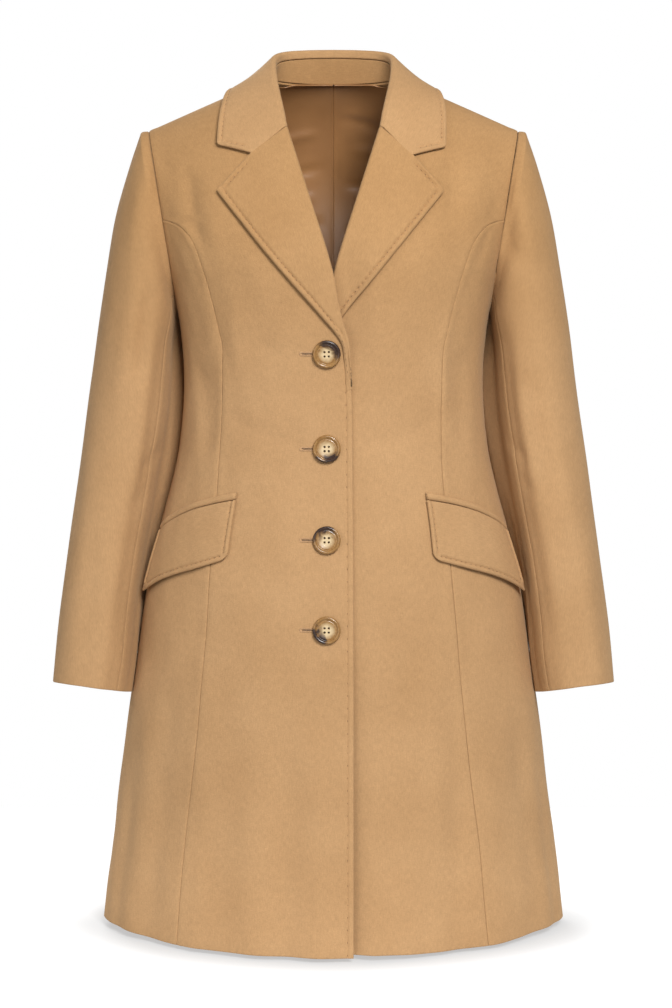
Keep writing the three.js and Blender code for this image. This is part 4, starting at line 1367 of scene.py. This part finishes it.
def flap(side):
    fine = np.linspace(0, 1, 300)
    width_run = runs(flap_base(fine, 0.6, side)[0], 0)
    width = width_run[-1]
    drop = np.linalg.norm(flap_base(0.5, 1.0, side)[0] - flap_base(0.5, 0.0, side)[0])
    along = edge_spaced(width, 44, first=PICK_EDGE, last=PICK_EDGE)[0][:, None]
    down = edge_spaced(drop, 18, first=EDGE, last=PICK_EDGE)[0][None, :]
    along, from_foot = np.broadcast_arrays(along, drop - down)
    a, b = rounded(along, from_foot, FLAP_CORNER)
    heel, b = rounded(width - a, b, FLAP_HEEL)
    c, r = np.interp(width - heel, width_run, fine), 1 - b / drop
    base, at = flap_base(c, r, side)
    normal = body_normal(base)
    bow = 1.2 * np.sin(np.pi * c) * r ** 2
    height = FACED + POCKET_SEAT + 0.6 + at.lift * r + drape(mirror(base, side)) + bow
    rim = rim_inset(base, FACED)
    stitched = (edge_relief(from_foot, along) * ((along > 8) & (along < width - 8))
                + (edge_relief(along, from_foot) + edge_relief(width - along, from_foot)) * (from_foot > 8))
    outer = mirror(base + normal * (height - rim - stitched)[..., None], side)
    inner = mirror(base + normal * (height - FACED + rim)[..., None], side)
    hand = "left" if side > 0 else "right"
    cloth_piece(f"flap_{hand}", outer, inner, camel_wool)
    up, k = mirror(normal, side), PICK_COLUMN
    foot, mid = outer.shape[1] - 1 - k, slice(k, outer.shape[0] - k)
    stitch_along(outer[mid, foot], up[mid, foot])
    for column in (k, outer.shape[0] - 1 - k):
        stitch_along(outer[column, 6:-k], up[column, 6:-k])


def welt(side):
    c = np.linspace(0, 1, 60)[:, None]
    r = (edge_spaced(WELT, 6, first=EDGE[:4], last=EDGE[:4])[0] / WELT)[None, :]
    at = flap_lines[side](c)
    base = body_point(FRONT, np.radians(at.turn), at.top + SEAM + 0.2 + WELT * r)
    normal = body_normal(base)
    thick = 2.2 + 1.4 * np.sin(np.pi * r)
    share = rim_inset(base, 1.0)
    seat = POCKET_SEAT + drape(mirror(base, side))
    outer = base + normal * (seat + thick * (1 - share))[..., None]
    inner = base + normal * (seat + thick * share)[..., None]
    hand = "left" if side > 0 else "right"
    cloth_piece(f"welt_{hand}", mirror(outer, side), mirror(inner, side), camel_wool)


for side in (-1, 1):
    flap(side)
    welt(side)

# %% [markdown]
# ## Back lining
#
# Through the neck the satin lining of the back shows, with its middle seam. It is thin and loose, so
# it has small soft wrinkles that the coating doesn't have, and it shines where they turn.

# %% Satin
SATIN_BROWN = (0.352, 0.170, 0.062, 1.0)
SATIN_DEEP = (0.29, 0.135, 0.048, 1.0)


def satin_material():
    material, tree, shader = start_material("brown_satin")
    cloth = surface_coordinates(tree, "cloth")
    space = node(tree, "ShaderNodeTexCoord").outputs["Object"]
    yarns = noise(tree, stretched(tree, cloth, (0.12, 1.0, 1.0)), 3200, 2)
    clouds = noise(tree, space, 25, 2)
    colour = blended(tree, spread(tree, clouds, 0.1, 0.9), SATIN_BROWN, SATIN_DEEP)
    shade = spread(tree, yarns, 0.95, 1.05)
    tree.links.new(tint(tree, colour, shade), shader.inputs["Base Color"])
    add_bump(tree, shader, yarns, 0.0002, 0.2)
    set_inputs(shader, Roughness=0.38, Specular_IOR_Level=0.55, Anisotropic=0.45)
    return material


brown_satin = satin_material()

# %% Lining pieces
LINING_HEM, LINING_GAP, LINING_DROP = -868, 2.4, 1.5
LINING_WRINKLES = [
    # the same columns as the body's folds
    (180, -14, 160, -40, 1.2, 4, 2),
    (178, -48, 158, -62, -1.2, 4, 2),
    (179, -84, 160, -96, 1.2, 4, -2),
    (176, -112, 158, -128, -1.2, 4, 2),
    (179, -140, 162, -146, 1.1, 4, -2),
    (-178, -30, -160, -50, -1.2, 4, -2),
    (-179, -66, -158, -84, 1.3, 4, 2),
    (-177, -100, -160, -112, -1.1, 4, 0),
    (-179, -128, -160, -146, 1.2, 4, 2),
    (-177, -160, -164, -176, -1.0, 5, 0),
    (172, -150, 168, -260, 0.9, 6, 2),
    (-171, -165, -168, -280, 0.9, 7, -2),
    (176, -190, 174, -330, -0.9, 6, 0),
]


def lining(side):
    start = float(cap_start(BACK))
    levels = np.concatenate([
        LINING_HEM + EDGE, np.arange(LINING_HEM + 9, start, 6.0),
        np.arange(start, TIP_Z - LINING_DROP - 2, 2.4), [TIP_Z - LINING_DROP - 1, TIP_Z - LINING_DROP],
    ])
    at_armhole = crossing(BACK, levels, lambda z: armhole(z).x, 60.0, 205.0)
    reach = np.where(levels <= UNDERARM, np.radians(82), turn_at(BACK, at_armhole, levels)) * 0.98

    def place(turn, level):
        points = lowered_to_neck(turn, level)
        points[..., 2] = np.minimum(points[..., 2], NECK_Z - 1)
        return points

    points = panel_points(place, levels, 0 * levels, reach, 5.0)
    normal = body_normal(points)
    where = mirror(points, side)
    degrees = round_body(where)
    wrinkles = 1.6 * fold_heights(degrees, where[..., 2], 2.4, LINING_WRINKLES)
    wrinkles = wrinkles * (1 - smoothstep(points[..., 2], -30, 5))
    seam = 0.5 * np.exp(-((runs(points, 1) / 2.5) ** 2))
    depth = WOOL + LINING_GAP - drape(where) - wrinkles + seam
    rim = rim_inset(points, SATIN)
    outer = points - normal * (depth + rim)[..., None]
    inner = points - normal * (depth + SATIN - rim)[..., None]
    at_neck = smoothstep(levels, -96, TIP_Z)[:, None] * (1 - smoothstep(points[..., 0], 42, 60))
    upwards = unit(np.gradient(outer, axis=0))
    upwards = upwards / np.maximum(upwards[..., 2:], 0.55)
    rise = upwards * ((NECK_Z + 0.1 - outer[-1:, :, 2]) * at_neck)[..., None]
    outer, inner = outer + rise, inner + rise
    hand = "left" if side > 0 else "right"
    cloth_piece(f"lining_back_{hand}", mirror(outer, side), mirror(inner, side),
                brown_satin)


for side in (-1, 1):
    lining(side)

# %% [markdown]
# ## Buttons
#
# Four large buttons of a horn look: a raised round rim, a groove inside it and a dished middle with
# four holes. The profile is turned round its axis with numpy, and the holes are cut with Blender's
# Boolean modifier, which is then applied. The horn is a mix of cream, honey and dark brown clouds;
# each button's own place in the noise, and its own direction of the dark part, make it different.

# %% Horn


def horn_material(index, dark_turn, dark_share):
    """Cream in the middle, honey towards the rim, and dark clouds where a slope across the disc,
    turned to the button's own direction, and a noise add up to enough."""
    material, tree, shader = start_material(f"horn_{index}")
    disc = surface_coordinates(tree, "disc")
    space = node(tree, "ShaderNodeTexCoord").outputs["Object"]
    parts = node(tree, "ShaderNodeSeparateXYZ", {"Vector": disc})
    x, y = parts.outputs["X"], parts.outputs["Y"]
    radius = node(tree, "ShaderNodeVectorMath", {0: disc}, operation="LENGTH").outputs["Value"]
    slope = combine(tree, "ADD", combine(tree, "MULTIPLY", x, float(np.cos(dark_turn))),
                    combine(tree, "MULTIPLY", y, float(np.sin(dark_turn))))
    swirl = noise(tree, space, 95, 3, 0.55, 1.2)
    grain = noise(tree, space, 420, 3, 0.6, 0.6)
    honey = blended(tree, spread(tree, grain, 0, 1), (0.20, 0.093, 0.022, 1), (0.34, 0.185, 0.06, 1))
    cream = (0.60, 0.46, 0.27, 1)
    middle = node(tree, "ShaderNodeMapRange",
                  {"Value": combine(tree, "ADD", radius, combine(tree, "MULTIPLY", swirl, 0.3)),
                   "From Min": 0.42, "From Max": 0.78})
    body = blended(tree, middle.outputs["Result"], cream, honey)
    level = combine(tree, "ADD", combine(tree, "MULTIPLY", slope, 0.55),
                    combine(tree, "MULTIPLY", swirl, 1.15))
    dark = node(tree, "ShaderNodeMapRange",
                {"Value": level, "From Min": 0.98 - dark_share, "From Max": 1.22 - dark_share})
    inner_clear = node(tree, "ShaderNodeMapRange", {"Value": radius, "From Min": 0.22, "From Max": 0.6})
    amount = combine(tree, "MULTIPLY", dark.outputs["Result"], inner_clear.outputs["Result"])
    deep = blended(tree, spread(tree, grain, 0, 1), (0.012, 0.006, 0.004, 1), (0.05, 0.022, 0.012, 1))
    tree.links.new(blended(tree, amount, body, deep), shader.inputs["Base Color"])
    add_bump(tree, shader, grain, 0.0002, 0.08)
    set_inputs(shader, Roughness=0.3, Specular_IOR_Level=0.45, Coat_Weight=0.2, Coat_Roughness=0.08)
    return material


# %% Button form
BUTTON_RADIUS, BUTTON_X = 14.4, -6.8
BUTTON_Z = (-277, -374.5, -468, -560)
HOLE_RADIUS, HOLE_PLACE = 1.2, 2.2
BUTTON_SEAT = 0.55
button_profile = table("t r h", [
    (0, 0, 0), (1, 8, 0), (2, 12.2, 0.15), (3, 13.9, 1.4), (4, 14.4, 2.7), (5, 13.9, 4.0),
    (6, 12.8, 4.6), (7, 11.6, 4.25), (8, 10.9, 3.45), (9, 10.2, 3.05), (10, 9.2, 3.2),
    (11, 7.6, 3.0), (12, 4.5, 2.6), (13, 0, 2.45),
])


def turned_disc(sides=96, steps=78):
    """A profile of radius and height turned round the axis: x = r cos, y = r sin, z = h."""
    line = button_profile(np.linspace(0, 13, steps))
    turn = np.arange(sides) * 2 * np.pi / sides
    r, h = line.r[1:-1, None], np.broadcast_to(line.h[1:-1, None], (steps - 2, sides))
    body = np.stack([r * np.cos(turn), r * np.sin(turn), h], -1).reshape(-1, 3)
    ends = np.array([[0, 0, line.h[0]], [0, 0, line.h[-1]]])
    return np.concatenate([body, ends]), steps - 2, sides


def hole_cutter():
    """Four upright rods with many sides, as one mesh."""
    turn = np.arange(24) * 2 * np.pi / 24
    circle = np.stack([np.cos(turn), np.sin(turn)], -1) * HOLE_RADIUS
    points, faces = [], []
    for corner in ((1, 1), (1, -1), (-1, 1), (-1, -1)):
        first = sum(len(p) for p in points)
        ids = np.arange(24)
        for height in (-3.0, 9.0):
            points.append(np.column_stack([circle + np.array(corner) * HOLE_PLACE,
                                           np.full(24, height)]))
        faces += [(first + i, first + (i + 1) % 24, first + 24 + (i + 1) % 24, first + 24 + i)
                  for i in ids]
        faces += [tuple(first + ids[::-1]), tuple(first + 24 + ids)]
    mesh = bpy.data.meshes.new("hole_cutter")
    mesh.from_pydata(np.concatenate(points) * MM, [], faces)
    cutter = bpy.data.objects.new("hole_cutter", mesh)
    bpy.context.scene.collection.objects.link(cutter)
    return cutter


def button_mesh(index):
    """The turned disc with its four holes cut, in its own frame with z outwards."""
    points, rings, sides = turned_disc()
    ids = np.arange(rings * sides).reshape(rings, sides)
    right = np.roll(ids, -1, axis=1)
    quads = np.stack([ids[:-1], right[:-1], right[1:], ids[1:]], -1).reshape(-1, 4)
    low, high = rings * sides, rings * sides + 1
    caps = [(low, int(b), int(a)) for a, b in zip(ids[0], right[0])]
    caps += [(high, int(a), int(b)) for a, b in zip(ids[-1], right[-1])]
    mesh = bpy.data.meshes.new(f"horn_button_{index}")
    mesh.from_pydata(points * MM, [], quads.tolist() + caps)
    blank = bpy.data.objects.new("blank", mesh)
    bpy.context.scene.collection.objects.link(blank)
    cutter = hole_cutter()
    cut = blank.modifiers.new("holes", "BOOLEAN")
    cut.operation, cut.solver, cut.object = "DIFFERENCE", "EXACT", cutter
    ready = bpy.data.meshes.new_from_object(blank.evaluated_get(bpy.context.evaluated_depsgraph_get()))
    for helper in (blank, cutter):
        bpy.data.objects.remove(helper)
    return ready


def place_button(index, z, material):
    seat = on_body(FRONT, np.array([BUTTON_X]), np.array([float(z)]))
    up = body_normal(seat)[0]
    right = unit(np.cross(np.array([0.0, 0.0, 1.0]), up))
    right = right * np.sign(right[0])
    above = np.cross(up, right)
    above = above * np.sign(above[2])
    origin = seat[0] + up * (BUTTON_SEAT + float(drape(seat)[0]))
    mesh = button_mesh(index)
    local = np.empty(len(mesh.vertices) * 3, np.float32)
    mesh.vertices.foreach_get("co", local)
    local = local.reshape(-1, 3) / MM
    placed = origin + local[:, :1] * right + local[:, 1:2] * above + local[:, 2:] * up
    mesh.vertices.foreach_set("co", (placed * MM).astype(np.float32).ravel())
    mesh.polygons.foreach_set("use_smooth", np.ones(len(mesh.polygons), bool))
    corners = np.empty(len(mesh.loops), np.int32)
    mesh.loops.foreach_get("vertex_index", corners)
    layer = mesh.uv_layers.new(name="disc")
    layer.data.foreach_set("uv", (local[corners][:, :2] / BUTTON_RADIUS).astype(np.float32).ravel())
    if np.dot(np.cross(right, above), up) < 0:
        mesh.flip_normals()
    mesh.update()
    mesh.set_sharp_from_angle(angle=np.radians(50))
    piece = bpy.data.objects.new(f"horn_button_{index}", mesh)
    bpy.context.scene.collection.objects.link(piece)
    dress(piece, f"button_{index}", material)
    return origin, right, above, up


DARK_PARTS = [(50, 0.34), (-75, 0.24), (115, 0.28), (215, 0.24)]
button_frames = []
for index, (z, (dark_turn, dark_share)) in enumerate(zip(BUTTON_Z, DARK_PARTS), start=1):
    horn = horn_material(index, np.radians(dark_turn), dark_share)
    button_frames.append(place_button(index, z, horn))
print("buttons:", len(button_frames))

# %% [markdown]
# ## Buttonholes and button threads
#
# Left of each button the end of its worked buttonhole shows: close stitches side by side round a
# slit. They are laid as small bars, square to the slit on its sides and like a fan at its end. The
# slit between them is a line of dark rods, as painted shade. In each of the buttons' holes three
# short strands of dark thread show.

# %% Buttonholes
HOLE_LENGTH, HOLE_LIP = 30.0, 0.35
BAR_PITCH, BAR_LENGTH = 0.62, 2.1


def bars(origins, outwards_dir, up, length, radius, bend=0.35):
    """Capsules from an origin outwards, arched up by bend times the radius in their middle."""
    t = np.linspace(0, 1, 6)
    turn = np.arange(6) * 2 * np.pi / 6
    sideways = np.cross(up, outwards_dir)
    line = (origins[:, None] + outwards_dir[:, None] * (length * t)[None, :, None]
            + up[:, None] * (bend * np.sin(np.pi * t))[None, :, None])
    thick = radius * np.sqrt(np.clip(1 - (0.97 * (2 * t - 1)) ** 4, 0, 1))
    circle = (sideways[:, None, None] * np.cos(turn)[:, None]
              + up[:, None, None] * np.sin(turn)[:, None])
    return line[:, :, None] + circle * thick[None, :, None, None]


def worked_hole(z):
    """Origins and directions of the stitches of one buttonhole, in the plane of the front: straight
    rows above and below the slit, and half a turn of them round each end."""
    left = BUTTON_X - 11.5 - BUTTON_RADIUS
    straight = np.arange(0, HOLE_LENGTH, BAR_PITCH)
    fan = np.radians(np.linspace(100, 260, 11))
    places, ways = [], []
    for row in (-1, 1):
        places.append(np.column_stack([left + straight, np.full_like(straight, row * HOLE_LIP)]))
        ways.append(np.column_stack([0 * straight, np.full_like(straight, row)]))
    for end, flip in ((left, 1), (left + HOLE_LENGTH, -1)):
        way = np.column_stack([np.cos(fan) * flip, np.sin(fan)])
        places.append(np.array([end, 0.0]) + way * HOLE_LIP)
        ways.append(way)
    flat, way = np.concatenate(places), np.concatenate(ways)
    base = on_body(FRONT, flat[:, 0], z + flat[:, 1])
    tipped = on_body(FRONT, flat[:, 0] + way[:, 0], z + flat[:, 1] + way[:, 1])
    up = body_normal(base)
    out = unit(tipped - base)
    lifted = base + up * (drape(base) + 0.12)[:, None]
    return bars(lifted, unit(out - up * dot(out, up)), up, BAR_LENGTH, 0.3)


def tubes_piece(name, tubes, material):
    """Joins many small closed tubes, each a grid of rings by sides, into one mesh."""
    count, rings, sides = tubes.shape[:3]
    ids = np.arange(rings * sides).reshape(rings, sides)
    right = np.roll(ids, -1, axis=1)
    wall = np.stack([ids[:-1], right[:-1], right[1:], ids[1:]], -1).reshape(-1, 4)
    fan = [(0, i, i + 1, i + 2) for i in range(1, sides - 2, 2)]
    fan += [(0, sides - 2, sides - 1, sides - 1)] if sides % 2 else []
    caps = np.array([[q[3], q[2], q[1], q[0]] for q in fan])
    ends = np.concatenate([caps, (rings - 1) * sides + caps[:, ::-1]])
    one = [list(dict.fromkeys(face)) for face in np.concatenate([wall, ends]).tolist()]
    faces = [[v + n * rings * sides for v in face] for n in range(count) for face in one]
    mesh = bpy.data.meshes.new(name)
    mesh.from_pydata(tubes.reshape(-1, 3) * MM, [], faces)
    mesh.polygons.foreach_set("use_smooth", np.ones(len(mesh.polygons), bool))
    piece = bpy.data.objects.new(name, mesh)
    bpy.context.scene.collection.objects.link(piece)
    print(f"{name}: {count} stitches")
    return dress(piece, None, material)


def thread_material(name, colour):
    """Silky twisted thread: a fine diagonal band pattern in the bump, and a soft gloss."""
    material, tree, shader = start_material(name)
    space = node(tree, "ShaderNodeTexCoord").outputs["Object"]
    twist = node(tree, "ShaderNodeTexWave", {"Vector": space, "Scale": 900.0, "Distortion": 1.0},
                 bands_direction="DIAGONAL").outputs["Fac"]
    fuzz = noise(tree, space, 1500, 2)
    shade = combine(tree, "MULTIPLY", spread(tree, twist, 0.97, 1.03), spread(tree, fuzz, 0.9, 1.1))
    tree.links.new(tint(tree, colour, shade), shader.inputs["Base Color"])
    add_bump(tree, shader, twist, 0.0001, 0.3)
    set_inputs(shader, Roughness=0.6, Specular_IOR_Level=0.35, Sheen_Weight=0.15)
    return material


camel_thread = thread_material("camel_thread", (0.46, 0.27, 0.13, 1))
holes = np.concatenate([worked_hole(z) for z in BUTTON_Z])
tubes_piece("buttonhole_stitches", holes, camel_thread)

# %% Button threads


def button_threads(origin, right, above, up):
    """In each hole the dark thread shows that goes down through it: three strands side by side."""
    spots = [(x + strand, y) for x in (-HOLE_PLACE, HOLE_PLACE) for y in (-HOLE_PLACE, HOLE_PLACE)
             for strand in (-0.45, 0.0, 0.45)]
    start = np.array([origin + right * x + above * y - up * 0.4 for x, y in spots])
    way = np.broadcast_to(up, start.shape)
    return bars(start, way, np.broadcast_to(above, start.shape), 2.2, 0.3, bend=0.0)


def slit(z):
    """Painted shade of the buttonhole's slit: a row of short dark rods between the two rows of
    stitches, from the buttonhole's end to the button.
    """
    x = BUTTON_X - 11.5 - BUTTON_RADIUS + np.arange(0.6, 14, 1.5)
    base = on_body(FRONT, x, np.full_like(x, z))
    up = body_normal(base)
    along = unit(np.gradient(base, axis=0))
    lifted = base + up * (drape(base) + 0.1)[:, None]
    return bars(lifted, unit(along - up * dot(along, up)), up, 1.9, 0.38, bend=0.0)


dark_thread_and_painted_slit_shade = thread_material("dark_thread_and_painted_slit_shade", (0.05, 0.026, 0.014, 1))
# The slits' dark rods are painted shade; the strands in the buttons' holes are dark thread.
dark = [button_threads(*f) for f in button_frames] + [slit(z) for z in BUTTON_Z]
tubes_piece("button_threads", np.concatenate(dark), dark_thread_and_painted_slit_shade)

# %% Stitches along the front edge and all pick stitches
for side in (-1, 1):
    points = fronts[side]
    column = int(np.argmin(np.abs(FRONT_EDGE_STEPS - EDGE_STITCH)))
    keep = points[:, 0, 2] < -306
    line = points[keep, column]
    normal = body_normal(line)
    lift = drape(mirror(line, side)) - 0.65
    if side < 0:
        stitch_along(mirror(line + normal * lift[:, None], side), mirror(normal, side))

# The pick threads are coloured far darker than the cloth: painted shade of the dimples they lie in.
pick_thread_painted_shade = thread_material("pick_thread_painted_shade", (0.17, 0.085, 0.033, 1))
tubes_piece("pick_stitches", np.concatenate(threads), pick_thread_painted_shade)

# %% [markdown]
# ## Floor, light and background
#
# The coat stands free over a pale floor before an overexposed white background, with a soft shadow
# close to the hem. The broad key light comes from the front, from above and a little from the right,
# which gives the lapels and flaps their soft shadows down to the left. The white surround would
# lighten every shadow if it lit the coat as brightly as it looks, so it looks white to the camera
# and gives the coat less light. The floor glows, and its glow is weaker close round the hem: a
# painted shadow, on top of the real shadow that the floor's grey takes from the lights.

# %% Studio
FLOOR_Z = -901.0
FLOOR_HALF = 560.0
MIDDLE = (0, 0, -430)
SURROUND = 0.33


def add_floor():
    corners = np.array([(-1, -0.62), (1, -0.62), (1, 1), (-1, 1)]) * FLOOR_HALF
    points = np.column_stack([corners, np.full(4, FLOOR_Z)])
    floor = make_piece("floor", points, np.array([[0, 1, 2, 3]]))
    material, tree, shader = start_material("pale_floor")
    set_inputs(shader, Base_Color=(0.3, 0.3, 0.3, 1.0), Roughness=0.9, Specular_IOR_Level=0.0,
               Emission_Color=(1.0, 1.0, 1.0, 1.0))
    space = node(tree, "ShaderNodeTexCoord").outputs["Object"]
    by_hem = stretched(tree, space, (1 / 0.252, 1 / 0.15, 1.0))
    parts = node(tree, "ShaderNodeSeparateXYZ", {"Vector": by_hem})
    powers = [combine(tree, "POWER", combine(tree, "ABSOLUTE", parts.outputs[axis], 0.0), 1.7)
              for axis in "XY"]
    # Painted shadow: the floor's glow is dimmer in a superellipse round the hem.
    floor_glow_with_painted_shadow = node(tree, "ShaderNodeMapRange", {"Value": combine(tree, "ADD", *powers), "From Min": 0.93,
                                             "From Max": 1.6, "To Min": 0.5, "To Max": 0.84},
                interpolation_type="SMOOTHSTEP")
    tree.links.new(floor_glow_with_painted_shadow.outputs["Result"], shader.inputs["Emission Strength"])
    floor.data.materials.append(material)
    return floor


def add_light(name, place, aim, size, power):
    """A square soft light that looks at a point. Places are in millimetres, power in watts."""
    data = bpy.data.lights.new(name, "AREA")
    data.shape, data.size, data.energy = "SQUARE", size * MM, power
    light = bpy.data.objects.new(name, data)
    light.location = Vector(place) * MM
    way = (Vector(aim) - Vector(place)).normalized()
    light.rotation_euler = way.to_track_quat("-Z", "Y").to_euler()
    bpy.context.scene.collection.objects.link(light)
    return light


def add_surround():
    """The world's brightness is 1 for the camera's own rays and SURROUND for all others."""
    world = bpy.data.worlds.new("studio")
    world.use_nodes = True
    tree = world.node_tree
    ray = node(tree, "ShaderNodeLightPath").outputs["Is Camera Ray"]
    strength = node(tree, "ShaderNodeMapRange", {"Value": ray, "To Min": SURROUND, "To Max": 1.0})
    background = tree.nodes["Background"]
    background.inputs["Color"].default_value = (1, 1, 1, 1)
    tree.links.new(strength.outputs["Result"], background.inputs["Strength"])
    bpy.context.scene.world = world


add_floor()
add_light("key", (620, -2250, 900), (0, 0, -380), 900, 78)
add_light("fill", (-2000, -2500, -100), MIDDLE, 1800, 22)
add_light("behind", (-900, 2300, 700), MIDDLE, 1500, 60)
add_surround()
bpy.context.scene.view_settings.view_transform = "Standard"
